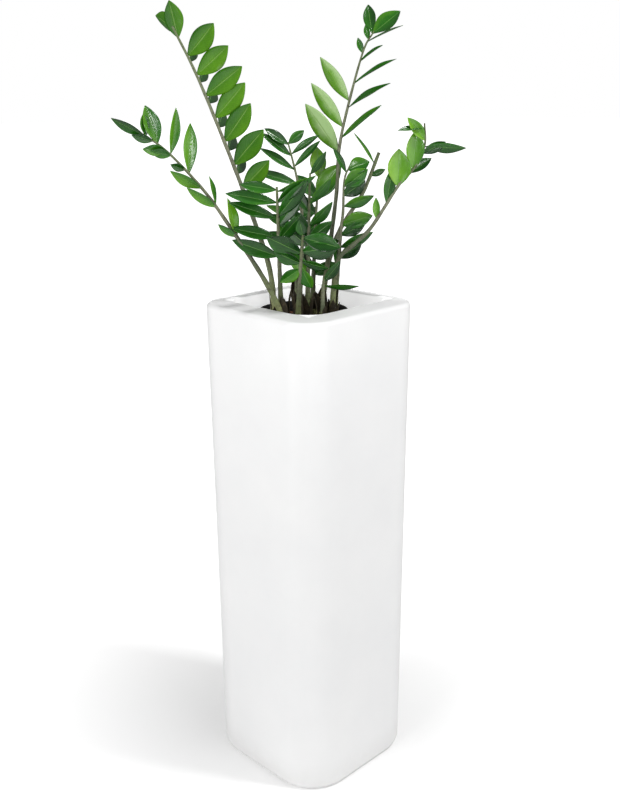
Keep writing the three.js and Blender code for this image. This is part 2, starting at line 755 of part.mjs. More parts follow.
function frondCurve(frond) {
  const out = radians(frond.lean);
  const points = [[0, 0], ...frond.path].map(
    ([reach, rise]) =>
      new THREE.Vector3(
        frond.x + reach * Math.cos(out),
        frond.y + reach * Math.sin(out),
        BARK.top + GAP + STALK.base / 3 + rise
      )
  );
  return new THREE.CatmullRomCurve3(points, false, "catmullrom", 0.5);
}

// The stalk: a tube that thins from the bark to the tip.
function stalk(curve, thick) {
  const { sides, steps } = STALK;
  const side = new THREE.Vector3(1, 0, 0);
  const positions = [];
  for (let step = 0; step <= steps; step++) {
    const t = step / steps;
    const centre = curve.getPointAt(t);
    const along = curve.getTangentAt(t);
    const u = side.clone().sub(along.clone().multiplyScalar(side.dot(along))).normalize();
    const v = along.clone().cross(u);
    const radius = THREE.MathUtils.lerp(STALK.base, STALK.tip * thick, t);
    for (let i = 0; i < sides; i++) {
      const angle = (2 * Math.PI * i) / sides;
      const rim = u.clone().multiplyScalar(radius * Math.cos(angle));
      rim.addScaledVector(v, radius * Math.sin(angle)).add(centre);
      positions.push(rim.x, rim.y, rim.z);
    }
  }
  const index = [];
  for (let ring = 0; ring < steps; ring++) {
    for (let i = 0; i < sides; i++) {
      const a = ring * sides + i;
      const b = ring * sides + ((i + 1) % sides);
      index.push(a, b, b + sides, a, b + sides, a + sides);
    }
  }
  const last = steps * sides;
  for (let i = 1; i + 1 < sides; i++) {
    index.push(0, i + 1, i);
    index.push(last, last + i, last + i + 1);
  }
  return indexed(positions, index);
}

function indexed(positions, index) {
  const geometry = new THREE.BufferGeometry();
  geometry.setAttribute("position", new THREE.Float32BufferAttribute(positions, 3));
  geometry.setIndex(index);
  geometry.computeVertexNormals();
  return geometry;
}

// A leaf as a thin lens: a pointed outline with its thickest place on the midrib.
function leaf({ root, along, normal, length, width }) {
  const half = [[-0.05, 0.05], [0.26, 0.38], [0.62, 0.48]]; // shares of the length and the width
  const outline = [...half, [1, 0], ...half.map(([f, w]) => [f, -w]).reverse()];
  const across = normal.clone().cross(along);
  const at = (forward, sideways, up) => {
    const point = root.clone().addScaledVector(along, forward);
    return point.addScaledVector(across, sideways).addScaledVector(normal, up);
  };
  const points = outline.map(([f, w]) => at(f * length, w * width, 0));
  points.push(at(length * 0.45, 0, LEAF_THICK), at(length * 0.45, 0, -LEAF_THICK));
  const index = [];
  const top = outline.length;
  for (let i = 0; i < outline.length; i++) {
    const next = (i + 1) % outline.length;
    index.push(next, i, top);
    index.push(i, next, top + 1);
  }
  return indexed(points.flatMap((point) => point.toArray()), index);
}

// The part of a vector that is square to another, at length 1.
function squareTo(vector, direction) {
  return vector.clone().addScaledVector(direction, -vector.dot(direction)).normalize();
}

// The leaves of one row; hand is -1 for the left row and 1 for the right.
function rowLeaves(row, curve, face, lift, hand) {
  return row.map(([share, splay, length, width, twist]) => {
    const forward = curve.getTangentAt(share);
    const upper = squareTo(face, forward);
    const lateral = forward.clone().cross(upper).multiplyScalar(hand);
    const sideways = swung(lateral, upper, lift);
    const along = swung(forward, sideways, splay);
    const normal = swung(upper, lateral, -lift).applyAxisAngle(along, radians(twist));
    return { root: curve.getPointAt(share), along, normal, length, width };
  });
}

// A unit vector swung from one direction to another that is square to it.
function swung(from, to, degrees) {
  const angle = radians(degrees);
  return from.clone().multiplyScalar(Math.cos(angle)).addScaledVector(to, Math.sin(angle));
}

function frondLeaves(spec, curve) {
  const facing = radians(spec.face);
  const face = new THREE.Vector3(Math.cos(facing), Math.sin(facing), FACE_RISE);
  const left = rowLeaves(spec.left, curve, face, spec.lift[0], -1);
  const right = rowLeaves(spec.right, curve, face, spec.lift[1], 1);
  return [...left, ...right, ...rowLeaves(spec.tip, curve, face, 0, 1)];
}

const curves = FRONDS.map(frondCurve);
const stalks = curves.map((curve, i) => toSolid(stalk(curve, FRONDS[i].thick)));
const grown = [];

// A stalk with its leaves. A leaf that would cross another stalk or a frond already grown is left off.
function frond(spec, number) {
  const others = [...stalks.filter((_, i) => i !== number), ...grown];
  let solid = stalks[number];
  for (const place of frondLeaves(spec, curves[number])) {
    const blade = toSolid(leaf(place));
    if (others.every((other) => blade.intersect(other).isEmpty())) solid = solid.add(blade);
  }
  grown.push(solid);
  return toGeometry(solid);
}

// ---------------------------------------------------------------- assembly

const FINISH = {
  white: { color: 0xf4f4f2, roughness: 0.32, metalness: 0 },
  black: { color: 0x1c1c1d, roughness: 0.55, metalness: 0 },
  grey: { color: 0x55585a, roughness: 0.55, metalness: 0 },
  rubber: { color: 0x262626, roughness: 0.8, metalness: 0 },
  clear: { color: 0xe8eef0, roughness: 0.08, metalness: 0, transparent: true, opacity: 0.35 },
  foam: { color: 0xe9e6dc, roughness: 0.8, metalness: 0 },
  red: { color: 0xc4161c, roughness: 0.4, metalness: 0 },
  soil: { color: 0x2c2019, roughness: 1, metalness: 0 },
  bark: { color: 0x7a4630, roughness: 0.95, metalness: 0 },
  cotton: { color: 0xe4ddcb, roughness: 0.95, metalness: 0 },
  leaf: { color: 0x2f6d2c, roughness: 0.35, metalness: 0 },
};

const group = new THREE.Group();

function add(name, finish, geometry) {
  const mesh = new THREE.Mesh(geometry, new THREE.MeshStandardMaterial(FINISH[finish]));
  mesh.name = name;
  group.add(mesh);
}

add("outer_shell", "white", outerShell());
add("base_drain_plug", "rubber", baseDrainPlug());
add("liner_tub", "black", linerTub());
add("overflow_plug", "rubber", overflowPlug());
add("liner_handle_left", "black", linerHandle(-1));
add("liner_handle_right", "black", linerHandle(1));
add("separator_platform", "grey", separatorPlatform());
for (let number = 0; number < 4; number++) {
  add(`support_column_${number + 1}`, "grey", supportColumn(number));
}
add("filler_tube", "black", fillerTube());
add("filler_lid", "black", fillerLid());
add("lid_hinge_pin", "grey", lidHingePin());
add("gauge_tube", "grey", gaugeTube());
add("gauge_head", "clear", gaugeHead());
add("gauge_float", "foam", gaugeFloat());
add("float_rod", "grey", floatRod());
add("indicator_tip", "red", indicatorTip());
add("grow_pot", "black", growPot());
add("potting_soil", "soil", pottingSoil());
add("bark_mulch", "bark", barkMulch());
wickPlaces().forEach(([x, y], i) => add(`wick_${i + 1}`, "cotton", wick(x, y)));
FRONDS.forEach((spec, i) => add(`frond_${i + 1}`, "leaf", frond(spec, i)));

export default group;
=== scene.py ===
"""Looks for the self-watering planter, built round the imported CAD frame.

The frame gives every node's place. Sizes are in metres, written as millimetres times MM.
Sections: camera, helpers, materials, wicks, shell, liner, platform, filler, gauge, pot, bark, plant, stage.
"""

import json
import random
from math import asin, cos, degrees, exp, pi, radians, sin, sqrt

import bmesh
import bpy
from mathutils import Matrix, Vector


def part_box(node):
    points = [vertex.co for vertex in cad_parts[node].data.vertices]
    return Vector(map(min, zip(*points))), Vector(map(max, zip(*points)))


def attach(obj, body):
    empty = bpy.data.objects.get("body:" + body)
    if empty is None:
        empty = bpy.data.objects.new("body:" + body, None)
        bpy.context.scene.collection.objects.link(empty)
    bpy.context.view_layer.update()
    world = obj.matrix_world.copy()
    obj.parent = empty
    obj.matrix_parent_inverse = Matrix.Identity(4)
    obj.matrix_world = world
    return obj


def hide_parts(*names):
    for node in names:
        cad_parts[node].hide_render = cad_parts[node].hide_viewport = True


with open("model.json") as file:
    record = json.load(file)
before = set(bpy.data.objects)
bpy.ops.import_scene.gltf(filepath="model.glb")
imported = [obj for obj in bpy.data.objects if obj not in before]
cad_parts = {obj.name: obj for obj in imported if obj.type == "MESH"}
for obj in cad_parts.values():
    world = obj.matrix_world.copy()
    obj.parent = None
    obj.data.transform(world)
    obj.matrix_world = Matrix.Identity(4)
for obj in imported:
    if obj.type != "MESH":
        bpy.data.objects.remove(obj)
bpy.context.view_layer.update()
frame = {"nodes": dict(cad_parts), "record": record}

MM = 0.001
RECORD = frame["record"]
BODY_OF = {node: body for body, nodes in RECORD["behaviour"]["bodies"].items() for node in nodes}

SHELL_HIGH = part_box("outer_shell")[1]
TOP = SHELL_HIGH.z  # the rim's height, 750 mm


# ---- camera

CAMERA_AWAY = 1464.5 * MM  # level distance from the planter's axis
CAMERA_HEIGHT = 1046.6 * MM
CAMERA_AZIMUTH = radians(45)  # it looks at the corner between +X and -Y
CAMERA_PITCH = radians(17.2)
CAMERA_ROLL = radians(-0.48)
CAMERA_LENS = 45.34


def make_camera():
    data = bpy.data.cameras.new("camera")
    data.sensor_width = 36
    data.lens = CAMERA_LENS
    data.clip_start = 0.05
    data.clip_end = 60
    data.shift_x = 0.001
    camera = bpy.data.objects.new("camera", data)
    across, along = sin(CAMERA_AZIMUTH), -cos(CAMERA_AZIMUTH)
    camera.location = (CAMERA_AWAY * across, CAMERA_AWAY * along, CAMERA_HEIGHT)
    turn = Matrix.Rotation(CAMERA_AZIMUTH, 4, "Z") @ Matrix.Rotation(pi / 2 - CAMERA_PITCH, 4, "X")
    camera.rotation_euler = (turn @ Matrix.Rotation(CAMERA_ROLL, 4, "Z")).to_euler()
    bpy.context.scene.collection.objects.link(camera)
    bpy.context.scene.camera = camera


make_camera()


# ---- helpers

def middle(node):
    """The middle of a node's box in plan."""
    low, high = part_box(node)
    return (low.x + high.x) / 2, (low.y + high.y) / 2


def ends(node):
    """The heights of a node's lower and upper end."""
    low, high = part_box(node)
    return low.z, high.z


def placed(name, data):
    """A new object in the scene."""
    made = bpy.data.objects.new(name, data)
    bpy.context.scene.collection.objects.link(made)
    return made


def mesh_object(name, vertices, faces):
    """An object from points and faces."""
    mesh = bpy.data.meshes.new(name)
    mesh.from_pydata([tuple(v) for v in vertices], [], faces)
    mesh.update()
    made = placed(name, mesh)
    face_out(made)
    smooth(made)
    return made


def face_out(made, weld=0):
    """Turns every face outwards; points closer together than weld are joined first."""
    editing = bmesh.new()
    editing.from_mesh(made.data)
    if weld:
        bmesh.ops.remove_doubles(editing, verts=editing.verts, dist=weld)
    bmesh.ops.recalc_face_normals(editing, faces=editing.faces)
    editing.to_mesh(made.data)
    editing.free()


def smooth(made, under=35):
    """Shades the mesh smooth; edges sharper than `under` degrees stay crisp."""
    made.data.polygons.foreach_set("use_smooth", [True] * len(made.data.polygons))
    made.data.set_sharp_from_angle(angle=radians(under))


def evaluated_mesh(shape):
    """A new mesh of an object, with its modifiers or its curve's depth worked in."""
    bpy.context.view_layer.update()
    seen = shape.evaluated_get(bpy.context.evaluated_depsgraph_get())
    return bpy.data.meshes.new_from_object(seen)


def apply_modifiers(made):
    mesh = evaluated_mesh(made)
    old = made.data
    made.modifiers.clear()
    made.data = mesh
    bpy.data.meshes.remove(old)


def combine(made, operation, *tools):
    """Joins or cuts with other objects, which are used up."""
    for tool in tools:
        modifier = made.modifiers.new("combine", "BOOLEAN")
        modifier.operation = operation
        modifier.solver = "EXACT"
        modifier.object = tool
    apply_modifiers(made)
    for tool in tools:
        mesh = tool.data
        bpy.data.objects.remove(tool)
        bpy.data.meshes.remove(mesh)
    smooth(made)


def chamfer(made, width):
    modifier = made.modifiers.new("soft_edges", "BEVEL")
    modifier.width = width
    modifier.segments = 1
    modifier.limit_method = "ANGLE"
    modifier.angle_limit = radians(40)
    apply_modifiers(made)
    smooth(made, 50)


def box(name, low, high):
    xs, ys, zs = zip(low, high)
    vertices = [(x, y, z) for z in zs for y in ys for x in xs]
    faces = [(0, 2, 3, 1), (4, 5, 7, 6), (0, 1, 5, 4), (2, 6, 7, 3), (0, 4, 6, 2), (1, 3, 7, 5)]
    return mesh_object(name, vertices, faces)


def bridged(rings, closed=False):
    """Points and faces of a skin through rings of equal count, capped at both ends unless closed."""
    count = len(rings[0])
    vertices = [point for ring in rings for point in ring]
    faces = []
    spans = len(rings) if closed else len(rings) - 1
    for ring in range(spans):
        low = ring * count
        high = ((ring + 1) % len(rings)) * count
        for i in range(count):
            j = (i + 1) % count
            faces.append((low + i, low + j, high + j, high + i))
    if not closed:
        faces.append(tuple(reversed(range(count))))
        faces.append(tuple(range(len(vertices) - count, len(vertices))))
    return vertices, faces


def polar(x, y, away, angle):
    """The point that lies away from (x, y) in the direction of an angle, in radians."""
    return x + away * cos(angle), y + away * sin(angle)


def turned(name, outline, x, y, sides=64):
    """A solid of revolution. An outline that starts on the axis is capped, any other is a closed loop."""
    on_axis = outline[0][0] <= 0
    used = outline[1:-1] if on_axis else outline
    angles = [2 * pi * i / sides for i in range(sides)]
    rings = [[(*polar(x, y, radius, angle), z) for angle in angles] for radius, z in used]
    return mesh_object(name, *bridged(rings, closed=not on_axis))


def upright(name, radius, x, y, low, high, sides=40):
    return turned(name, [(0, low), (radius, low), (radius, high), (0, high)], x, y, sides)


def cross_bar(name, radius, x0, x1, y, z):
    """A cylinder along X."""
    return laid_along_x(upright(name, radius, 0, 0, x0, x1, 32), 0, y, z)


def laid_along_x(made, x, y, z):
    """Turns a piece built along Z so that its Z runs along X, its X along Y and its Y along Z."""
    made.data.transform(Matrix(((0, 0, 1, x), (1, 0, 0, y), (0, 1, 0, z), (0, 0, 0, 1))))
    face_out(made)
    return made


def arc(centre, radius, start, end, steps):
    """Points of an arc, in degrees."""
    angles = [radians(start + (end - start) * step / steps) for step in range(steps + 1)]
    return [polar(*centre, radius, angle) for angle in angles]


def rounded_square(half, corner, steps):
    inner = half - corner
    points = []
    for quarter, (sx, sy) in enumerate(((1, 1), (-1, 1), (-1, -1), (1, -1))):
        points += arc((sx * inner, sy * inner), corner, 90 * quarter, 90 * quarter + 90, steps)
    return points


def lofted(name, rings, steps):
    """A closed skin through rounded squares, each given as (z, half side, corner radius)."""
    loops = [[(x, y, z) for x, y in rounded_square(half, corner, steps)] for z, half, corner in rings]
    return mesh_object(name, *bridged(loops))


def plate(name, outline, holes, low, high, edge):
    """A flat piece with a rounded edge, from an outline and holes in plan."""
    curve = bpy.data.curves.new(name, "CURVE")
    curve.dimensions = "2D"
    curve.fill_mode = "BOTH"
    curve.extrude = (high - low) / 2 - edge
    curve.bevel_depth = edge
    curve.bevel_resolution = 1
    curve.offset = -edge
    for loop in [outline, *holes]:
        spline = curve.splines.new("POLY")
        spline.points.add(len(loop) - 1)
        for point, (x, y) in zip(spline.points, loop):
            point.co = (x, y, 0, 1)
        spline.use_cyclic_u = True
    shape = placed(name, curve)
    mesh = evaluated_mesh(shape)
    bpy.data.objects.remove(shape)
    bpy.data.curves.remove(curve)
    mesh.transform(Matrix.Translation((0, 0, (low + high) / 2)))
    made = placed(name, mesh)
    face_out(made, weld=0.001 * MM)
    smooth(made, 50)
    return made


def finished(made, node, material):
    """The piece stands for a CAD node, rides on its body and takes its finish."""
    made.data.materials.clear()
    made.data.materials.append(material)
    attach(made, BODY_OF[node])
    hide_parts(node)


# ---- materials

class Shader:
    """A principled material whose colour, roughness and bump come from small node chains."""

    def __init__(self, name, roughness, **settings):
        self.material = bpy.data.materials.new(name)
        self.material.use_nodes = True
        self.tree = self.material.node_tree
        self.surface = self.tree.nodes["Principled BSDF"]
        self.surface.inputs["Roughness"].default_value = roughness
        for key, value in settings.items():
            self.surface.inputs[key.replace("_", " ")].default_value = value

    def add(self, kind, inputs=None, **settings):
        node = self.tree.nodes.new(kind)
        for key, value in settings.items():
            setattr(node, key, value)
        for key, value in (inputs or {}).items():
            self.feed(node.inputs[key], value)
        return node

    def feed(self, socket, value):
        if isinstance(value, bpy.types.NodeSocket):
            self.tree.links.new(value, socket)
        else:
            socket.default_value = value

    @staticmethod
    def opaque(colour):
        return colour if isinstance(colour, bpy.types.NodeSocket) else (*colour, 1)

    def place(self):
        return self.add("ShaderNodeTexCoord").outputs["Object"]

    def noise(self, scale, detail, roughness=0.55):
        values = {"Vector": self.place(), "Scale": scale, "Detail": detail, "Roughness": roughness}
        return self.add("ShaderNodeTexNoise", values).outputs["Fac"]

    def cells(self, scale):
        return self.add("ShaderNodeTexVoronoi", {"Vector": self.place(), "Scale": scale}).outputs["Distance"]

    def stored(self, name):
        """A value that the mesh keeps for each point."""
        return self.add("ShaderNodeAttribute", attribute_name=name).outputs["Fac"]

    def ramp(self, value, *stops):
        node = self.add("ShaderNodeValToRGB", {"Fac": value})
        points = node.color_ramp.elements
        while len(points) < len(stops):
            points.new(0.5)
        for point, (position, colour) in zip(points, stops):
            point.position = position
            point.color = (*colour, 1)
        return node.outputs["Color"]

    def math(self, operation, a, b=0.0, c=0.0):
        node = self.add("ShaderNodeMath", {0: a, 1: b, 2: c}, operation=operation)
        return node.outputs["Value"]

    def remap(self, value, low, high, to_low, to_high):
        values = {"Value": value, "From Min": low, "From Max": high, "To Min": to_low, "To Max": to_high}
        return self.add("ShaderNodeMapRange", values).outputs["Result"]

    def drift(self, scale, detail, low, high):
        """A value that wanders between two others from place to place."""
        return self.remap(self.noise(scale, detail), 0.3, 0.7, low, high)

    def mottle(self, scale, detail, dark, light, full=0.7):
        """Colours the surface in soft patches, from a dark shade to a light one."""
        self.colour(self.ramp(self.noise(scale, detail), (0.3, dark), (full, light)))

    def mix(self, factor, a, b):
        node = self.add("ShaderNodeMix", data_type="RGBA")
        self.feed(node.inputs["Factor"], factor)
        colours = [socket for socket in node.inputs if socket.type == "RGBA"]
        self.feed(colours[0], self.opaque(a))
        self.feed(colours[1], self.opaque(b))
        return [socket for socket in node.outputs if socket.type == "RGBA"][0]

    def bump(self, height, distance, strength):
        chained = self.surface.inputs["Normal"]
        before = chained.links[0].from_socket if chained.links else None
        node = self.add("ShaderNodeBump", {"Height": height, "Distance": distance, "Strength": strength})
        if before:
            self.tree.links.new(before, node.inputs["Normal"])
        self.tree.links.new(node.outputs["Normal"], chained)

    def colour(self, value):
        self.feed(self.surface.inputs["Base Color"], self.opaque(value))

    def rough(self, value):
        self.feed(self.surface.inputs["Roughness"], value)

    def glow(self, strength):
        self.feed(self.surface.inputs["Emission Strength"], strength)
        self.surface.inputs["Emission Color"].default_value = (1, 1, 1, 1)


def moulded(name, dark, light, roughness):
    """Moulded plastic: a fine grain, slow colour drift and uneven gloss."""
    shader = Shader(name, roughness)
    shader.mottle(14, 3, dark, light, 0.75)
    shader.rough(shader.drift(60, 3, roughness - 0.06, roughness + 0.08))
    shader.bump(shader.noise(900, 2), 0.00004, 0.6)
    return shader.material


SCUFF_HIGH = 50 * MM
# Painted glow on the collar's inside, standing in for light through its thin wall
PAINTED_COLLAR_GLOW = 0.42
COLLAR_HALF = 88.2 * MM
GLOW_FROM, GLOW_FULL = 690 * MM, 710 * MM  # heights


def painted_collar_glow(shader, x, y, z):
    """A faint painted glow on the collar's inside: emission that stands in for light through its thin
    translucent wall.
    """
    reach = shader.math("MAXIMUM", shader.math("ABSOLUTE", x), shader.math("ABSOLUTE", y))
    inside = shader.math("LESS_THAN", reach, COLLAR_HALF)
    return shader.math("MULTIPLY", inside, shader.remap(z, GLOW_FROM, GLOW_FULL, 0.0, PAINTED_COLLAR_GLOW))


def white_shell_material():
    """Rotation-moulded polyethylene: satin white, with a faint orange peel, slow waves in the wall and a
    painted glow in its collar.
    """
    shader = Shader("white_shell", 0.34, Specular_IOR_Level=0.42)
    clean = shader.ramp(shader.noise(7, 4), (0.3, (0.86, 0.862, 0.865)), (0.7, (0.9, 0.9, 0.898)))
    x, y, z = shader.add("ShaderNodeSeparateXYZ", {"Vector": shader.place()}).outputs
    scuff = shader.math("MULTIPLY", shader.remap(z, 0.0, SCUFF_HIGH, 0.55, 0.0), shader.noise(55, 5))
    shader.colour(shader.mix(scuff, clean, (0.68, 0.67, 0.65)))
    # Painted glow: emission on the collar's inside
    shader.glow(painted_collar_glow(shader, x, y, z))
    shader.rough(shader.drift(26, 4, 0.28, 0.4))
    shader.bump(shader.noise(5.5, 2), 0.0016, 0.5)
    shader.bump(shader.noise(420, 2), 0.00005, 0.5)
    return shader.material


def rubber_material():
    shader = Shader("bung_rubber", 0.75)
    shader.mottle(120, 4, (0.012, 0.012, 0.012), (0.03, 0.029, 0.028), 0.8)
    shader.bump(shader.noise(1500, 2), 0.00004, 0.6)
    return shader.material


def clear_material():
    shader = Shader("clear_styrene", 0.05, Transmission_Weight=1.0, IOR=1.5)
    shader.mottle(30, 2, (0.9, 0.95, 0.95), (0.97, 0.99, 0.99))
    shader.rough(shader.remap(shader.noise(300, 4), 0.35, 0.75, 0.03, 0.12))
    return shader.material


def foam_material():
    shader = Shader("float_foam", 0.9)
    shader.colour(shader.ramp(shader.cells(900), (0.0, (0.62, 0.58, 0.5)), (0.5, (0.82, 0.79, 0.72))))
    shader.bump(shader.cells(900), 0.0002, 0.7)
    return shader.material


def steel_material():
    shader = Shader("pin_steel", 0.35, Metallic=1.0)
    shader.mottle(200, 3, (0.5, 0.5, 0.5), (0.66, 0.66, 0.65))
    shader.rough(shader.drift(500, 3, 0.25, 0.45))
    return shader.material


def soil_material():
    shader = Shader("potting_mix", 1.0, Specular_IOR_Level=0.2)
    damp, brown, dry = (0.012, 0.008, 0.005), (0.045, 0.028, 0.018), (0.11, 0.08, 0.055)
    shader.colour(shader.ramp(shader.noise(180, 6), (0.3, damp), (0.6, brown), (0.8, dry)))
    shader.bump(shader.cells(260), 0.0015, 0.9)
    shader.bump(shader.noise(700, 5), 0.0005, 0.8)
    return shader.material


def bark_material():
    """Reddish bark chips: fibres along each chip, and a shade of its own for each."""
    shader = Shader("bark_chips", 0.9, Specular_IOR_Level=0.25)
    dark, middle, light = (0.05, 0.02, 0.012), (0.2, 0.075, 0.04), (0.42, 0.2, 0.11)
    chip = shader.ramp(shader.stored("shade"), (0.0, dark), (0.5, middle), (1.0, light))
    fibre = shader.noise(420, 6, roughness=0.7)
    shader.colour(shader.mix(shader.remap(fibre, 0.35, 0.7, 0.75, 0.0), chip, (0.03, 0.014, 0.01)))
    shader.bump(fibre, 0.0008, 0.9)
    return shader.material


def cotton_material():
    shader = Shader("cotton_cord", 0.95, Specular_IOR_Level=0.2)
    shader.mottle(900, 4, (0.55, 0.5, 0.4), (0.8, 0.76, 0.66))
    shader.bump(shader.noise(2600, 3), 0.0002, 0.8)
    return shader.material


# The last colour, pale, is partly the leaf's own paler green and partly painted sheen
def leaf_material(name, dark, middle, bright, pale, rib, roughness, gloss):
    """A waxy leaf. UV runs across the blade in U and from its root to its tip in V."""
    shader = Shader(name, roughness, Specular_IOR_Level=gloss)
    where = shader.add("ShaderNodeUVMap", uv_map="blade").outputs["UV"]
    across, along, _ = shader.add("ShaderNodeSeparateXYZ", {"Vector": where}).outputs
    # Painted shade: one half of each blade is darker than the other, as if lit from one side
    slope = shader.remap(across, 0.0, 1.0, -0.17, 0.17)
    drift = shader.math("ADD", shader.drift(45, 3, -0.07, 0.07), slope)
    tone_and_painted_shade = shader.math("ADD", shader.stored("shade"), drift)
    blade = shader.ramp(tone_and_painted_shade, (0.0, dark), (0.45, middle), (0.85, bright), (1.0, pale))
    aside = shader.math("ABSOLUTE", shader.math("SUBTRACT", across, 0.5))
    slant = shader.math("SUBTRACT", shader.math("MULTIPLY", along, 14.0), shader.math("MULTIPLY", aside, 9.0))
    wave = shader.math("ABSOLUTE", shader.math("SINE", shader.math("MULTIPLY", slant, pi)))
    vein = shader.math("POWER", wave, 0.35)
    blade = shader.mix(shader.remap(vein, 0.2, 1.0, 0.1, 0.0), blade, rib)
    rib_line = shader.remap(aside, 0.008, 0.026, 0.7, 0.0)
    shader.colour(shader.mix(rib_line, blade, rib))
    shader.rough(shader.drift(160, 3, roughness - 0.05, roughness + 0.1))
    shader.bump(vein, 0.00007, 0.6)
    shader.bump(shader.remap(aside, 0.0, 0.05, 0.0, 1.0), 0.0004, 0.7)
    shader.bump(shader.noise(380, 3), 0.00008, 0.5)
    return shader.material


def stalk_material():
    """A stalk: pale yellow-green and mottled at its swollen base, greyer and greener higher up; darker low
    down, partly as painted shade.
    """
    shader = Shader("stalk_skin", 0.5)
    # The low stops are darkened partly as painted shade where the stalks crowd together
    stops = [(0.0, (0.33, 0.34, 0.14)), (0.1, (0.16, 0.19, 0.075)), (0.3, (0.08, 0.1, 0.05)),
             (0.6, (0.18, 0.19, 0.115)), (1.0, (0.12, 0.16, 0.06))]
    skin = shader.ramp(shader.stored("rise"), *stops)
    speck = shader.remap(shader.noise(240, 4), 0.52, 0.66, 0.0, 0.7)
    shader.colour(shader.mix(speck, skin, (0.055, 0.045, 0.03)))
    shader.bump(shader.noise(300, 4), 0.0003, 0.6)
    return shader.material


def sheath_material():
    """The dry scale leaves at the foot of a stalk: brown-black, with paler fibres; their near-black is partly
    painted shade.
    """
    shader = Shader("dry_sheath", 0.7, Specular_IOR_Level=0.3)
    fibre = shader.noise(170, 6, roughness=0.7)
    # The near-black husk is partly painted shade between the stalks' feet
    dark_husk_and_painted_shade, brown, straw = (0.01, 0.009, 0.005), (0.045, 0.034, 0.016), (0.13, 0.1, 0.05)
    shader.colour(shader.ramp(fibre, (0.35, dark_husk_and_painted_shade), (0.6, brown), (0.8, straw)))
    shader.bump(fibre, 0.0005, 0.7)
    return shader.material


WHITE = white_shell_material()
BLACK = moulded("liner_plastic", (0.013, 0.013, 0.014), (0.028, 0.028, 0.03), 0.5)
GREY = moulded("platform_plastic", (0.085, 0.09, 0.093), (0.12, 0.125, 0.128), 0.5)
POT_BLACK = moulded("pot_plastic", (0.008, 0.008, 0.009), (0.02, 0.02, 0.021), 0.42)
RED = moulded("signal_red", (0.5, 0.012, 0.012), (0.62, 0.02, 0.02), 0.3)
RUBBER = rubber_material()
CLEAR = clear_material()
FOAM = foam_material()
STEEL = steel_material()
SOIL = soil_material()
BARK = bark_material()
COTTON = cotton_material()
# Each leaf's palest colour is partly painted sheen
LEAF_TOP = leaf_material("leaf_upper", (0.001, 0.03, 0.002), (0.017, 0.13, 0.004), (0.12, 0.33, 0.01),
                         (0.2, 0.42, 0.03), (0.15, 0.34, 0.07), 0.18, 0.5)
LEAF_UNDER = leaf_material("leaf_lower", (0.01, 0.05, 0.006), (0.025, 0.125, 0.005), (0.095, 0.27, 0.008),
                           (0.3, 0.45, 0.19), (0.2, 0.36, 0.07), 0.3, 0.16)
STALK = stalk_material()
SHEATH = sheath_material()


# ---- wicks

POT_LOW, POT_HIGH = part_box("grow_pot")
POT_X, POT_Y = middle("grow_pot")
WICK_DIAMETER = 6 * MM


def wick(node):
    """A braided cotton cord that hangs straight from the soil into the reservoir."""
    low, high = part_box(node)
    x, y = middle(node)
    rings, steps, sides = [], 80, 24
    for step in range(steps + 1):
        share = step / steps
        z = high.z + (low.z - high.z) * share
        ring = []
        for i in range(sides):
            angle = 2 * pi * i / sides
            braid = cos(3 * angle + 60 * share) * cos(3 * angle - 60 * share)
            radius = WICK_DIAMETER / 2 * (0.93 + 0.07 * braid)
            ring.append((*polar(x, y, radius, angle), z))
        rings.append(ring)
    made = mesh_object(node + "_cord", *bridged(rings))
    finished(made, node, COTTON)


wick("wick_1")
wick("wick_2")


# ---- outer shell

WALL = 5 * MM
TOP_HALF = 119.5 * MM
BASE_HALF = SHELL_HIGH.x
TOP_CORNER = 44.5 * MM
BASE_CORNER = 68 * MM
RIM_DROP, RIM_ROUND = 3.5 * MM, 7 * MM
BASE_ROUND = 10.5 * MM
MOUTH_HALF = 88 * MM
MOUTH_CORNER = 36 * MM
MOUTH_ROUND = 4 * MM
LEDGE_TOP = TOP - 60 * MM
LEDGE_THICK = 4 * MM
LEDGE_HALF = 81.5 * MM
DRAIN_Y = middle("base_drain_plug")[1]


def edge_rings(z, half, corner, radius, start, end, steps):
    """Rounded squares round a quarter-round edge; angles in degrees, 0 is the side and 90 the top."""
    rings = []
    for step in range(steps + 1):
        angle = radians(start + (end - start) * step / steps)
        inset = radius * (1 - cos(angle))
        rings.append((z + radius * sin(angle), half - inset, corner - inset))
    return rings


def side_rings(steps):
    """The shell's straight outside, whose corners tighten towards the rim."""
    low, high = BASE_ROUND, TOP - RIM_DROP - RIM_ROUND
    rings = []
    for step in range(1, steps):
        t = step / steps
        half = BASE_HALF + (TOP_HALF - BASE_HALF) * t
        corner = BASE_CORNER + (TOP_CORNER - BASE_CORNER) * t
        rings.append((low + (high - low) * t, half, corner))
    return rings


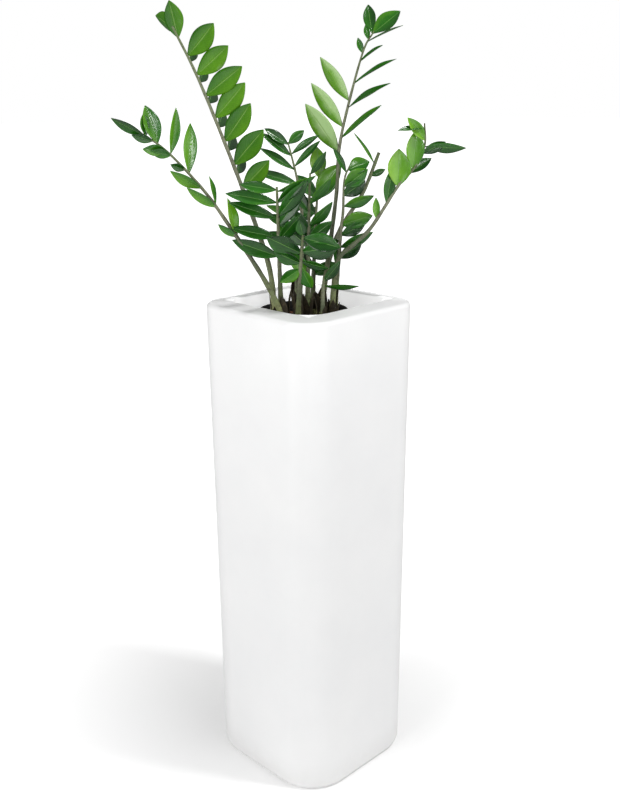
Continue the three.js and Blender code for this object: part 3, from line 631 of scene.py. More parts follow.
def shell_rings():
    rim_z = TOP - RIM_DROP - RIM_ROUND
    collar_half, collar_corner = MOUTH_HALF + WALL, MOUTH_CORNER + WALL
    ledge_corner = MOUTH_CORNER - (MOUTH_HALF - LEDGE_HALF)
    mouth_edge = []
    for step in range(7):
        angle = radians(15 * step)
        out = MOUTH_ROUND * (1 - sin(angle))
        mouth_edge.append((TOP - MOUTH_ROUND * (1 - cos(angle)), MOUTH_HALF + out, MOUTH_CORNER + out))
    return [
        *edge_rings(BASE_ROUND, BASE_HALF, BASE_CORNER, BASE_ROUND, -90, 0, 8),
        *side_rings(12),
        *edge_rings(rim_z, TOP_HALF, TOP_CORNER, RIM_ROUND, 0, 90, 14),
        *mouth_edge,
        (LEDGE_TOP, MOUTH_HALF, MOUTH_CORNER),
        (LEDGE_TOP, LEDGE_HALF, ledge_corner),
        (LEDGE_TOP - LEDGE_THICK, LEDGE_HALF, ledge_corner),
        (LEDGE_TOP - LEDGE_THICK, collar_half, collar_corner),
        (TOP - WALL, collar_half, collar_corner),
        *edge_rings(rim_z, TOP_HALF - WALL, TOP_CORNER - WALL, RIM_ROUND - WALL, 90, 0, 8),
        *edge_rings(BASE_ROUND, BASE_HALF - WALL, BASE_CORNER - WALL, BASE_ROUND - WALL, 0, -90, 5),
    ]


def outer_shell():
    shell = lofted("planter_shell", shell_rings(), 20)
    hole = upright("hole", 6 * MM, 0, DRAIN_Y, -5 * MM, 10 * MM)
    recess = upright("recess", 13 * MM, 0, DRAIN_Y, -5 * MM, 2.5 * MM)
    combine(shell, "DIFFERENCE", hole, recess)
    finished(shell, "outer_shell", WHITE)


def base_drain_plug():
    low, high = ends("base_drain_plug")
    head = low + 2 * MM
    outline = [(0, low), (12 * MM, low), (12.5 * MM, low + 0.5 * MM), (12.5 * MM, head - 0.4 * MM),
               (12.1 * MM, head), (5.7 * MM, head), (5.7 * MM, high - 1.4 * MM), (4.6 * MM, high), (0, high)]
    finished(turned("drain_bung", outline, 0, DRAIN_Y), "base_drain_plug", RUBBER)


outer_shell()
base_drain_plug()


# ---- liner, its bung and handles

TUB_LOW, TUB_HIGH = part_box("liner_tub")
TUB_WALL = 2.5 * MM
TUB_ROUND = 6 * MM
TUB_TOP_HALF, TUB_BOTTOM_HALF = 79 * MM, 76.5 * MM
TUB_TOP_CORNER, TUB_BOTTOM_CORNER = 26.5 * MM, 24 * MM
FLANGE_LOW = TUB_HIGH.z - 2.7 * MM
GUIDE_LOW = 682.5 * MM
OVERFLOW_LOW, OVERFLOW_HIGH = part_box("overflow_plug")
OVERFLOW_Z = (OVERFLOW_LOW.z + OVERFLOW_HIGH.z) / 2


def liner_rings():
    low = TUB_LOW.z + TUB_ROUND
    flange_half = TUB_HIGH.x
    flange_corner = TUB_TOP_CORNER + flange_half - TUB_TOP_HALF
    inner_half, inner_corner = TUB_BOTTOM_HALF - TUB_WALL, TUB_BOTTOM_CORNER - TUB_WALL
    edge = 0.8 * MM
    return [
        *edge_rings(low, TUB_BOTTOM_HALF, TUB_BOTTOM_CORNER, TUB_ROUND, -90, 0, 6),
        (FLANGE_LOW, TUB_TOP_HALF, TUB_TOP_CORNER),
        *edge_rings(FLANGE_LOW + edge, flange_half, flange_corner, edge, -90, 0, 3),
        *edge_rings(TUB_HIGH.z - edge, flange_half, flange_corner, edge, 0, 90, 3),
        (TUB_HIGH.z, TUB_TOP_HALF - TUB_WALL + edge, TUB_TOP_CORNER - TUB_WALL + edge),
        (TUB_HIGH.z - edge, TUB_TOP_HALF - TUB_WALL, TUB_TOP_CORNER - TUB_WALL),
        *edge_rings(low, inner_half, inner_corner, TUB_ROUND - TUB_WALL, 0, -90, 5),
    ]


def handle_guides():
    """Four lipped channels that hold the handles against the tub's wall."""
    guides = []
    for side in (-1, 1):
        for edge in (-1, 1):
            for name, x0, y0, x1, y1 in (("post", 71.4, 40.4, 77.4, 43.4), ("lip", 71.4, 38.4, 72.5, 41.4)):
                low = (side * x0 * MM, edge * y0 * MM, GUIDE_LOW)
                high = (side * x1 * MM, edge * y1 * MM, LEDGE_TOP)
                guides.append(box(name, low, high))
    return guides


def liner_tub():
    tub = lofted("liner", liner_rings(), 14)
    combine(tub, "UNION", *handle_guides())
    face_out(tub)
    hole = cross_bar("hole", 4 * MM, TUB_LOW.x, -69 * MM, 0, OVERFLOW_Z)
    combine(tub, "DIFFERENCE", hole)
    finished(tub, "liner_tub", BLACK)


def overflow_plug():
    """A rubber bung: its outline is turned about Z, then laid along X with its head outside."""
    length = OVERFLOW_HIGH.x - OVERFLOW_LOW.x
    outline = [(0, 0), (6.3 * MM, 0), (7 * MM, 0.5 * MM), (7 * MM, 1.3 * MM), (6.6 * MM, 1.5 * MM),
               (3.7 * MM, 1.5 * MM), (3.7 * MM, length - 1 * MM), (3 * MM, length), (0, length)]
    bung = laid_along_x(turned("overflow_bung_skin", outline, 0, 0), OVERFLOW_LOW.x, 0, OVERFLOW_Z)
    finished(bung, "overflow_plug", RUBBER)


def liner_handle(node):
    """A flat U-shaped strap with stop feet, standing against a wall of the tub."""
    low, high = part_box(node)
    half, leg, foot = 40 * MM, 9 * MM, 5 * MM
    bar = high.z - 12.5 * MM
    right = [(half - leg, low.z), (high.y, low.z), (high.y, low.z + foot), (half, low.z + foot)]
    right += arc((half - 4 * MM, high.z - 4 * MM), 4 * MM, 0, 90, 6)
    under = arc((half - leg - 3 * MM, bar - 3 * MM), 3 * MM, 90, 0, 5)
    left = [(-y, z) for y, z in reversed(right)]
    outline = right + left + [(-y, z) for y, z in reversed(under)] + under
    thick = high.x - low.x
    strap = plate(node + "_strap", outline, [], 0, thick, 0.4 * MM)
    finished(laid_along_x(strap, low.x, 0, 0), node, BLACK)


liner_tub()
overflow_plug()
liner_handle("liner_handle_left")
liner_handle("liner_handle_right")


# ---- separator platform and its columns

PLATE_LOW, PLATE_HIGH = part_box("separator_platform")
FILLER_X, FILLER_Y = 59 * MM, -59 * MM
GAUGE_X, GAUGE_Y = 59 * MM, 59 * MM
DECK_GAP = 0.3 * MM  # under the stop rings of the filler and the gauge
AIR_HOLES = ((12, pi / 12), (32, 0.5), (56, pi / 12))  # millimetres from the pot's axis, and a turn


def circle(x, y, radius, sides):
    return arc((x, y), radius, 0, 360 - 360 / sides, sides - 1)


def wick_places():
    return [middle("wick_1"), middle("wick_2")]


def separator_platform():
    half, corner, notch, depth = PLATE_HIGH.x, 21 * MM, 49.5 * MM, 4.5 * MM
    outline = []
    for sx, start in ((1, 0), (-1, 180)):
        inner = half - corner
        first = arc((sx * inner, sx * inner), corner, start, start + 90, 10)
        second = arc((-sx * inner, sx * inner), corner, start + 90, start + 180, 10)
        outline += [(sx * half, sx * notch), *first, *second, (-sx * half, sx * notch)]
        outline += [(-sx * (half - depth), sx * notch), (-sx * (half - depth), -sx * notch)]
    holes = [circle(x, y, 4.5 * MM, 28) for x, y in wick_places()]
    holes.append(circle(FILLER_X, FILLER_Y, 9.6 * MM, 36))
    holes.append(circle(GAUGE_X, GAUGE_Y, 8.6 * MM, 36))
    for reach, turn in AIR_HOLES:
        for quarter in range(4):
            x, y = polar(POT_X, POT_Y, reach * MM, quarter * pi / 2 + turn)
            holes.append(circle(x, y, 2 * MM, 14))
    deck = plate("platform_deck", outline, holes, PLATE_LOW.z, PLATE_HIGH.z, 0.4 * MM)
    finished(deck, "separator_platform", GREY)


def support_column(node):
    """A cross-shaped post with softened edges."""
    low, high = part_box(node)
    x, y = middle(node)
    half, rib = (high.x - low.x) / 2, 1.2 * MM
    outline = []
    for arm in range(4):
        turn = Matrix.Rotation(arm * pi / 2, 2)
        for px, py in ((half, -rib), (half, rib), (rib, rib)):
            spot = turn @ Vector((px, py))
            outline.append((x + spot.x, y + spot.y))
    finished(plate(node + "_post", outline, [], low.z, high.z, 0.3 * MM), node, GREY)


separator_platform()
for number in range(1, 5):
    support_column(f"support_column_{number}")


# ---- filler tube, lid and pin

FILLER_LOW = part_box("filler_tube")[0].z
PIN_LOW, PIN_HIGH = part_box("lid_hinge_pin")
HINGE_Y = (PIN_LOW.y + PIN_HIGH.y) / 2
HINGE_Z = (PIN_LOW.z + PIN_HIGH.z) / 2
FILLER_TOP = 722 * MM


def filler_tube():
    top, low, rest = FILLER_TOP, FILLER_LOW, PLATE_HIGH.z + DECK_GAP
    collar = rest + 2 * MM
    pipe = [(7, low), (9, low), (9, rest), (11.5, rest), (11.5, collar), (9, collar)]
    outside = [(9, 700), (9.8, 702.5), (14.4, 713.5), (15, 716), (15, 721.5), (14.5, 722)]
    inside = [(13.5, 722), (13, 721.5), (13, 716.8), (12.5, 714.8), (7.8, 703.2), (7, 700.8)]
    outline = [(radius * MM, z) for radius, z in pipe]
    outline += [(radius * MM, z * MM) for radius, z in outside + inside]
    tube = turned("filler_pipe", outline, FILLER_X, FILLER_Y, 48)
    ears = []
    for side in (-1, 1):
        x0, x1 = sorted((FILLER_X + side * 3.8 * MM, FILLER_X + side * 7 * MM))
        ears.append(box("ear", (x0, HINGE_Y - 2.2 * MM, top - 8 * MM), (x1, HINGE_Y + 2.2 * MM, HINGE_Z)))
        ears.append(cross_bar("knuckle", 2.2 * MM, x0, x1, HINGE_Y, HINGE_Z))
        web_low = (x0, HINGE_Y - 1 * MM, top - 8 * MM)
        ears.append(box("web", web_low, (x1, FILLER_Y - 13.8 * MM, top - 2 * MM)))
    combine(tube, "UNION", *ears)
    combine(tube, "DIFFERENCE", hinge_bore())
    finished(tube, "filler_tube", BLACK)


def hinge_bore():
    return cross_bar("bore", 1.2 * MM, FILLER_X - 12 * MM, FILLER_X + 12 * MM, HINGE_Y, HINGE_Z)


def filler_lid():
    radius, chord, tab, reach = 15.5 * MM, 12.5 * MM, 3.5 * MM, 17.5 * MM
    low = FILLER_TOP + 0.3 * MM
    start = degrees(asin(-chord / radius))
    outline = arc((FILLER_X, FILLER_Y), radius, start, 180 - start, 40)
    outline += [(FILLER_X - tab, FILLER_Y - chord), (FILLER_X - tab, FILLER_Y - reach)]
    outline += [(FILLER_X + tab, FILLER_Y - reach), (FILLER_X + tab, FILLER_Y - chord)]
    lid = plate("filler_flap", outline, [], low, low + 2 * MM, 0.4 * MM)
    barrel = cross_bar("barrel", 2.2 * MM, FILLER_X - tab, FILLER_X + tab, HINGE_Y, HINGE_Z)
    combine(lid, "UNION", barrel)
    combine(lid, "DIFFERENCE", hinge_bore())
    finished(lid, "filler_lid", BLACK)


def lid_hinge_pin():
    finished(cross_bar("hinge_wire", 1 * MM, PIN_LOW.x, PIN_HIGH.x, HINGE_Y, HINGE_Z), "lid_hinge_pin", STEEL)


filler_tube()
filler_lid()
lid_hinge_pin()


# ---- water level gauge

# Every outline below is a list of radii, in millimetres, and heights, in metres.

def gauge_piece(name, node, material, outline, sides=40):
    points = [(radius * MM, z) for radius, z in outline]
    finished(turned(name, points, GAUGE_X, GAUGE_Y, sides), node, material)


def gauge_pipe():
    low, high = ends("gauge_tube")
    rest = PLATE_HIGH.z + DECK_GAP
    ring = rest + 2 * MM
    floor = low + 2 * MM
    outline = [(5, low), (8, low), (8, rest), (10.5, rest), (10.5, ring), (8, ring), (8, high), (6.5, high),
               (6.5, floor), (5, floor)]
    gauge_piece("gauge_pipe", "gauge_tube", GREY, outline)


def dome(radius, rise, top):
    """Half an arch over the gauge's head, 5 mm below its top; radius and rise in millimetres."""
    angles = [i * pi / 16 for i in range(8)]
    return [(radius * cos(a), top - 5 * MM + rise * MM * sin(a)) for a in angles]


def gauge_window():
    low, high = ends("gauge_head")
    outside, inside = dome(8, 5, high), dome(6.5, 3.5, high)
    outline = [(0, high - 1.5 * MM), *reversed(inside), (6.5, low), (8, low), *outside, (0, high)]
    gauge_piece("gauge_window", "gauge_head", CLEAR, outline)


def gauge_rod(name, node, material, radius, edge, sides=40):
    """A round bar with softened ends; radius and edge in millimetres."""
    low, high = ends(node)
    side = [(radius, low + edge * MM), (radius, high - edge * MM)]
    outline = [(0, low), (radius - edge, low), *side, (radius - edge, high), (0, high)]
    gauge_piece(name, node, material, outline, sides)


gauge_pipe()
gauge_window()
gauge_rod("float_body", "gauge_float", FOAM, 5.8, 0.8)
gauge_rod("float_stem", "float_rod", GREY, 1.2, 0.2, 20)
gauge_rod("level_tip", "indicator_tip", RED, 4.5, 1.2)


# ---- nursery pot and soil

POT_RIM = 66.5 * MM
RIM_HIGH = 13 * MM
POT_WALL = 1.7 * MM
POT_BODY_TOP, POT_BODY_LOW = 63 * MM, 48 * MM
POT_HOLES_REACH = 34 * MM


def pot_radius(z):
    t = (z - POT_LOW.z) / (POT_HIGH.z - RIM_HIGH - POT_LOW.z)
    return POT_BODY_LOW + (POT_BODY_TOP - POT_BODY_LOW) * t


def grow_pot():
    """A thin nursery pot: tapered wall, stepped rim band with a rolled lip, and drain holes in its floor."""
    low, top = POT_LOW.z, POT_HIGH.z
    under, floor = top - RIM_HIGH, low + 2 * MM
    inside = pot_radius(floor) - POT_WALL
    lip = arc((POT_RIM - 0.85 * MM, top - 0.85 * MM), 0.85 * MM, 0, 180, 8)
    outline = [(0, low), (POT_BODY_LOW - 1 * MM, low), (POT_BODY_LOW, low + 1 * MM), (POT_BODY_TOP, under),
               (POT_RIM - 0.6 * MM, under), (POT_RIM, under + 0.6 * MM), *lip,
               (POT_RIM - POT_WALL, under + 2 * MM), (pot_radius(under) - POT_WALL, under + 2 * MM),
               (inside, floor + 1 * MM), (inside - 1 * MM, floor), (0, floor)]
    pot = turned("nursery_pot", outline, POT_X, POT_Y, 96)
    places = wick_places() + [polar(POT_X, POT_Y, POT_HOLES_REACH, (i + 0.5) * pi / 3) for i in range(6)]
    holes = [upright("hole", 4 * MM, x, y, low - 1 * MM, floor + 1 * MM, 24) for x, y in places]
    combine(pot, "DIFFERENCE", *holes)
    finished(pot, "grow_pot", POT_BLACK)


def potting_soil():
    """The CAD block has the right shape and is hidden by the bark, so it only takes the soil's finish."""
    soil = frame["nodes"]["potting_soil"]
    soil.data.materials.clear()
    soil.data.materials.append(SOIL)


grow_pot()
potting_soil()


# ---- bark mulch

BARK_LOW, BARK_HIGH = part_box("bark_mulch")
BARK_TOP = BARK_HIGH.z
CHIPS = 420
# Least and most, in millimetres
CHIP_LENGTH, CHIP_WIDTH, CHIP_THICKNESS = (7, 15), (4, 8), (1.6, 3.4)
CHIP_DEPTH = (0.5, 4.5)  # of its middle under the bark's top


def chip(editing, layer, rng, centre, size):
    """One chip: a block with skewed corners, thin and longer than it is wide."""
    made = bmesh.ops.create_cube(editing, size=1)
    spots = made["verts"]
    turn = Matrix.Rotation(rng.uniform(0, 2 * pi), 3, "Z") @ Matrix.Rotation(rng.gauss(0, 0.35), 3, "X")
    turn = turn @ Matrix.Rotation(rng.gauss(0, 0.35), 3, "Y")
    for spot in spots:
        skew = Vector((rng.uniform(0.6, 1), rng.uniform(0.55, 1), rng.uniform(0.6, 1)))
        spot.co = turn @ (spot.co * size * skew) + centre
    shade = min(1, max(0, rng.gauss(0.45, 0.25)))
    for spot in spots:
        spot[layer] = shade


def bark_mulch():
    """Loose chips on a bed of soil."""
    rng = random.Random(11)
    reach = pot_radius(BARK_TOP - 3 * MM) - POT_WALL - 1 * MM
    editing = bmesh.new()
    layer = editing.verts.layers.float.new("shade")
    for _ in range(CHIPS):
        away = reach * sqrt(rng.random())
        angle = rng.uniform(0, 2 * pi)
        size = Vector([rng.uniform(*span) for span in (CHIP_LENGTH, CHIP_WIDTH, CHIP_THICKNESS)]) * MM
        away = min(away, reach - size.x / 2)
        z = BARK_TOP - rng.uniform(*CHIP_DEPTH) * MM
        chip(editing, layer, rng, Vector((*polar(POT_X, POT_Y, away, angle), z)), size)
    mesh = bpy.data.meshes.new("bark_pieces")
    editing.to_mesh(mesh)
    editing.free()
    chips = placed("bark_pieces", mesh)
    face_out(chips)
    chamfer(chips, 0.5 * MM)
    finished(chips, "bark_mulch", BARK)
    low = BARK_LOW.z
    bed_outline = [(0, low), (reach, low), (reach, low + 3 * MM), (0, low + 3.5 * MM)]
    bed = turned("bark_bed", bed_outline, POT_X, POT_Y, 48)
    bed.data.materials.append(SOIL)
    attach(bed, BODY_OF["bark_mulch"])


bark_mulch()


# ---- the plant

# Each frond rises from the bark at (x, y) and leans towards `lean`, in degrees anticlockwise from +X,
# through [reach, rise] points, in millimetres. Its upper side looks towards `face`, and `thick` scales
# the thin end of its stalk. A leaf is the place on the stalk where it grows, in percent of its length,
# its angle off the stalk, its length and width, its shade, from 0 for the darkest leaves to 100 for the
# brightest, and the turn of its blade about its midrib where it has one. The shade is partly the leaf's
# own green and partly painted shade and sheen: darker for leaves that lie in shade, palest for glossy
# ones. At the tip a positive angle is to the right. `lift` raises the two rows.
FRONDS = [
    dict(x=-25, y=-46, lean=217, face=80, lift=(50, 50), thick=1.3,
         path=[(6, 75), (37, 172), (69, 258), (103, 342), (134, 405)],
         left=[(45, 65, 56, 26, 63), (53, 61, 66, 31, 53), (61, 59, 65, 31, 61), (69, 66, 65, 30, 68),
               (76.5, 75, 66, 30, 63), (83.5, 75, 60, 30, 68), (90, 72, 57, 31, 63), (96, 14, 50, 27, 55)],
         right=[(50, 60, 55, 24, 18), (58, 62, 55, 24, 13), (66, 64, 55, 24, 18), (74, 62, 52, 23, 13),
                (81, 60, 50, 22, 18), (88, 55, 46, 20, 13)],
         tip=[(99, 42, 44, 27, 40)]),
    dict(x=1, y=-49, lean=244, face=335, lift=(10, 15), thick=1,
         path=[(30, 63), (85, 151), (117, 196), (161, 244), (192, 267)],
         left=[(43, 25, 34, 12, 52, -60), (58, 24, 52, 15, 57, -60), (68, 27, 52, 16, 62, -55),
               (78, 30, 23, 11, 32, -40), (86, 36, 31, 14, 37, -45), (89, 42, 34, 15, 52, -30),
               (95, 20, 31, 12, 27, -50)],
         right=[(43, 23, 55, 18, 77, 30), (59, 28, 41, 13, 57, 50), (76, 47, 66, 19, 67),
                (86.5, 59, 61, 16, 62, 20), (93, 40, 51, 23, 52), (98.5, 52, 29, 13, 42)],
         tip=[(99, -10, 49, 14, 14, -55)]),
    dict(x=-14, y=-42, lean=313, face=315, lift=(5, 10), thick=1.4,
         path=[(25, 80), (40, 138), (55, 195)],
         left=[(50, 68, 70, 22, 19, 10), (64, 76, 68, 19, 26, 45), (78, 69, 71, 18, 22, 40),
               (89, 75, 72, 19, 29, 35), (98, 79, 51, 16, 36, 20)],
         right=[(62, 40, 48, 20, 16, 20), (72, 34, 60, 20, 19, -15), (79, 37, 68, 21, 22, 10),
                (89, 47, 52, 17, 29, 10), (97, 67, 59, 17, 45, 35)],
         tip=[]),
    dict(x=12, y=-34, lean=323, face=315, lift=(15, 15), thick=1.4,
         path=[(31, 74), (51, 109), (66, 134)],
         left=[(66, 60, 45, 20, 16), (78, 57, 59, 29, 19), (60, 130, 36, 20, 53, 10)],
         right=[(62, 150, 38, 22, 40), (69, 92, 40, 21, 12, 15), (80, 64, 55, 29, 22),
                (96, 88, 54, 25, 22, -50)],
         tip=[(98, -14, 27, 14, 26)]),
    dict(x=4, y=-6, lean=326, face=315, lift=(20, 20), thick=1.2,
         path=[(8, 80), (15, 135), (20, 171), (28, 210)],
         left=[(32, 46, 42, 21, 62), (50, 48, 46, 20, 11), (60, 41, 46, 20, 14), (74, 34, 46, 18, 17, 20)],
         right=[(55, 50, 46, 19, 17, 10), (64, 45, 51, 18, 32, 40), (79, 40, 51, 17, 40, 45)],
         tip=[(99, 35, 39, 13, 24, 20)]),
    dict(x=-17, y=-3, lean=225, face=315, lift=(10, 10), thick=1,
         path=[(-6, 115), (-4, 170), (2, 205), (13, 250)],
         left=[(30, 60, 44, 20, 16), (44, 58, 44, 20, 40), (76, 60, 66, 16, 30, 30), (84, 46, 60, 15, 28, 35),
               (92, 40, 54, 16, 26, 30), (98.5, 43, 41, 15, 24, 20)],
         right=[(36, 58, 44, 20, 16), (86, 60, 52, 12, 24, -35), (93, 70, 48, 12, 22, -35),
                (99, 63, 29, 14, 30)],
         tip=[]),
    dict(x=2, y=24, lean=69, face=300, lift=(10, 10), thick=1,
         path=[(25, 167), (30, 236), (43, 293), (68, 372), (85, 399)],
         left=[(57.5, 42, 82, 27, 96, 180), (66, 50, 76, 21, 91, 180), (75, 49, 74, 20, 86, 180),
               (91.5, 36, 23, 9, 40), (96.5, 42, 22, 9, 35)],
         right=[(62, 44, 75, 20, 36, -45), (72.5, 47, 71, 19, 31, -45), (81, 47, 69, 17, 31, -50),
                (88.5, 40, 39, 13, 31, -45), (95.5, 42, 55, 14, 36, -62)],
         tip=[(99, -44, 47, 18, 31), (99, 20, 50, 26, 36)]),
    dict(x=31, y=17, lean=45, face=315, lift=(20, 10), thick=1,
         path=[(8, 80), (31, 106), (57, 131), (96, 191), (118, 215), (131, 245), (130, 275)],
         left=[(52, 37, 31, 11, 70), (60, 24, 52, 17, 30), (69, 31, 52, 34, 90), (79, 35, 54, 26, 70),
               (92.5, 41, 42, 17, 80, 5), (98, 84, 42, 11, 30, 55)],
         right=[(77, 8, 36, 16, 20), (87, 45, 36, 15, 12, 20), (90, 80, 58, 17, 25, 35)],
         tip=[]),
    dict(x=-10, y=32, lean=66, face=315, lift=(10, 10), thick=2.1,
         path=[(27, 106), (71, 173), (97, 231)],
         left=[(93, 53, 54, 12, 55, 60)],
         right=[(86, 50, 24, 10, 30, 20)],
         tip=[]),
    dict(x=27, y=27, lean=75, face=315, lift=(30, 10), thick=1,
         path=[(11, 120), (15, 151), (17, 196), (26, 216)],
         left=[(32, 12, 35, 12, 15), (95, 55, 40, 12, 15, 20)],
         right=[(39, 53, 40, 19, 13, 15), (46, 63, 54, 18, 41, 30), (54, 60, 42, 18, 13, 10),
                (61, 66, 47, 24, 52), (73, 71, 47, 18, 46, 30), (80, 55, 38, 23, 11, 10),
                (86, 54, 42, 24, 57), (97, 43, 33, 25, 44)],
         tip=[]),
    dict(x=-17, y=25, lean=96, face=315, lift=(20, 20), thick=1,
         path=[(10, 138), (20, 200)],
         left=[(34, 62, 40, 20, 10), (50, 60, 46, 22, 8), (72, 55, 48, 22, 25), (84, 50, 45, 20, 30)],
         right=[(28, 60, 40, 19, 30), (43, 58, 44, 21, 8), (83, 29, 61, 32, 72)],
         tip=[(98, -10, 46, 24, 85)]),
    dict(x=36, y=-8, lean=45, face=330, lift=(10, 10), thick=1.4,
         path=[(1, 30), (2, 54), (3, 66)],
         left=[],
         right=[(78, 93, 53, 13, 35, 45), (86, 38, 38, 16, 15, 20)],
         tip=[]),
    dict(x=-36, y=12, lean=140, face=315, lift=(15, 15), thick=1,
         path=[(8, 70), (36, 118), (78, 148)],
         left=[(55, 64, 50, 22, 35), (70, 60, 50, 22, 30, 10), (84, 56, 48, 20, 60)],
         right=[(60, 58, 48, 20, 10), (75, 55, 48, 20, 12), (90, 50, 44, 18, 15)],
         tip=[(98, 0, 40, 18, 30)]),
]

FACE_RISE = 0.45  # how far a frond's upper side looks up, for each unit that it looks out
# In millimetres
STALK_BASE, STALK_TIP = 4.2, 1.2  # the stalk's radii
FOOT_RISE = 1.7  # of each frond's path over the bark's top
SHEATH_DEPTH, SHEATH_AWAY = 8, 4.5  # of the dry scale leaves under the path's foot, and out from it
SHEATH_LENGTH, SHEATH_HALF = (28, 58), (5, 8)  # least and most
LEAF_THICK = 0.45
LEAF_STEPS, LEAF_HALF = 16, 4  # quads along a leaf, and across each half of it


class Curve:
    """A smooth curve through points, measured along its length."""

    def __init__(self, points, fine=240):
        knots = [2 * points[0] - points[1], *points, 2 * points[-1] - points[-2]]
        self.samples = []
        spans = len(points) - 1
        for step in range(fine + 1):
            place = step / fine * spans
            i = min(int(place), spans - 1)
            self.samples.append(self.blend(knots[i:i + 4], place - i))
        self.lengths = [0.0]
        for a, b in zip(self.samples, self.samples[1:]):
            self.lengths.append(self.lengths[-1] + (b - a).length)

    @staticmethod
    def blend(four, t):
        a, b, c, d = four
        slope, bend, twist = c - a, 2 * a - 5 * b + 4 * c - d, 3 * b - a - 3 * c + d
        return 0.5 * (2 * b + slope * t + bend * t * t + twist * t ** 3)

    def at(self, share):
        target = min(max(share, 0), 1) * self.lengths[-1]
        for i in range(1, len(self.samples)):
            if self.lengths[i] >= target:
                span = self.lengths[i] - self.lengths[i - 1]
                t = (target - self.lengths[i - 1]) / span if span else 0
                return self.samples[i - 1].lerp(self.samples[i], t)
        return self.samples[-1].copy()

    def along(self, share):
        low, high = max(0, share - 0.01), min(1, share + 0.01)
        return (self.at(high) - self.at(low)).normalized()


def frond_curve(frond):
    lean = radians(frond["lean"])
    points = []
    for reach, rise in [(0, 0), *frond["path"]]:
        x, y = polar(frond["x"], frond["y"], reach, lean)
        points.append(Vector((x * MM, y * MM, BARK_TOP + (FOOT_RISE + rise) * MM)))
    return Curve(points)


def square_to(vector, direction):
    return (vector - direction * vector.dot(direction)).normalized()


def swung(start, end, turn):
    """A unit vector swung by some degrees from one direction to another that is square to it."""
    return start * cos(radians(turn)) + end * sin(radians(turn))


def row_leaves(row, curve, face, lift, hand):
    """The leaves of one row; hand is -1 for the left row and 1 for the right."""
    leaves = []
    for percent, splay, length, width, shade, *turned_by in row:
        share = percent / 100
        forward = curve.along(share)
        upper = square_to(face, forward)
        lateral = forward.cross(upper) * hand
        along = swung(forward, swung(lateral, upper, lift), splay)
        twist = Matrix.Rotation(radians(sum(turned_by)), 3, along)
        leaves.append(dict(root=curve.at(share), along=along, normal=twist @ swung(upper, lateral, -lift),
                           length=length * MM, half=width * MM / 2, shade=shade / 100))
    return leaves


def frond_leaves(frond, curve):
    face = Vector((*polar(0, 0, 1, radians(frond["face"])), FACE_RISE))
    left = row_leaves(frond["left"], curve, face, frond["lift"][0], -1)
    right = row_leaves(frond["right"], curve, face, frond["lift"][1], 1)
    return [*left, *right, *row_leaves(frond["tip"], curve, face, 0, 1)]


def blade_width(t):
    """Half width of the blade along it, as a share of its widest: a wedge root and a drawn-out tip."""
    return max(sin(pi * min(1, t ** 1.05)) ** 0.85, 0.03)


def add_blade(sheet, leaf, rng):
    """Adds one leaf to the sheet: folded along its midrib, arched back at the tip, with a wavy margin."""
    along, normal, length, half = leaf["along"], leaf["normal"], leaf["length"], leaf["half"]
    across = normal.cross(along)
    fold, arch = rng.uniform(0.16, 0.42), rng.uniform(0.01, 0.08)
    wave, phase, veer = rng.uniform(0.02, 0.07), rng.uniform(0, 6), rng.uniform(-0.04, 0.04)
    shade = min(1, max(0, leaf["shade"] + rng.gauss(0, 0.04)))
    first = len(sheet["vertices"])
    for i in range(LEAF_STEPS + 1):
        t = i / LEAF_STEPS
        wide = blade_width(t) * half
        for j in range(-LEAF_HALF, LEAF_HALF + 1):
            u = j / LEAF_HALF
            up = fold * wide * abs(u) ** 1.25 - arch * length * t * t
            up += wave * half * sin(9 * t + phase + 2 * u) * u * u
            side = u * wide + veer * length * t * t
            sheet["vertices"].append(leaf["root"] + along * (length * t) + across * side + normal * up)
            sheet["uvs"].append((0.5 + 0.5 * u, t))
            sheet["shades"].append(shade)
    row = 2 * LEAF_HALF + 1
    for i in range(LEAF_STEPS):
        for j in range(row - 1):
            a = first + i * row + j
            sheet["faces"].append((a, a + row, a + row + 1, a + 1))


def leaf_object(name, leaves, rng, upper=LEAF_TOP, under=LEAF_UNDER):
    sheet = dict(vertices=[], faces=[], uvs=[], shades=[])
    for leaf in leaves:
        add_blade(sheet, leaf, rng)
    mesh = bpy.data.meshes.new(name)
    mesh.from_pydata([tuple(v) for v in sheet["vertices"]], [], sheet["faces"])
    uvs = mesh.uv_layers.new(name="blade")
    for loop in mesh.loops:
        uvs.data[loop.index].uv = sheet["uvs"][loop.vertex_index]
    shade = mesh.attributes.new("shade", "FLOAT", "POINT")
    shade.data.foreach_set("value", sheet["shades"])
    made = placed(name, mesh)
    mesh.materials.append(upper)
    mesh.materials.append(under)
    thicken = made.modifiers.new("thickness", "SOLIDIFY")
    thicken.thickness = LEAF_THICK * MM
    thicken.offset = 0
    thicken.material_offset = 1
    apply_modifiers(made)
    made.data.polygons.foreach_set("use_smooth", [True] * len(made.data.polygons))
    return made


def stalk_object(name, curve, thick):
    """A stalk that is swollen at its base and faintly knobbly all along."""
    rings, rises, steps, sides = [], [], 60, 12
    start = Vector((1, 0, 0))
    for step in range(steps + 1):
        share = step / steps
        centre, along = curve.at(share), curve.along(share)
        if step == 0:
            centre = centre - along * 6 * MM
        u = square_to(start, along)
        v = along.cross(u)
        radius = STALK_BASE + (STALK_TIP * thick - STALK_BASE) * share
        radius *= 1 + 0.34 * exp(-share * 14) + 0.05 * sin(share * 75)
        angles = [2 * pi * i / sides for i in range(sides)]
        rings.append([centre + (u * cos(a) + v * sin(a)) * radius * MM for a in angles])
        rises += [share] * sides
    made = mesh_object(name, *bridged(rings))
    rise = made.data.attributes.new("rise", "FLOAT", "POINT")
    rise.data.foreach_set("value", rises)
    made.data.materials.append(STALK)
    return made


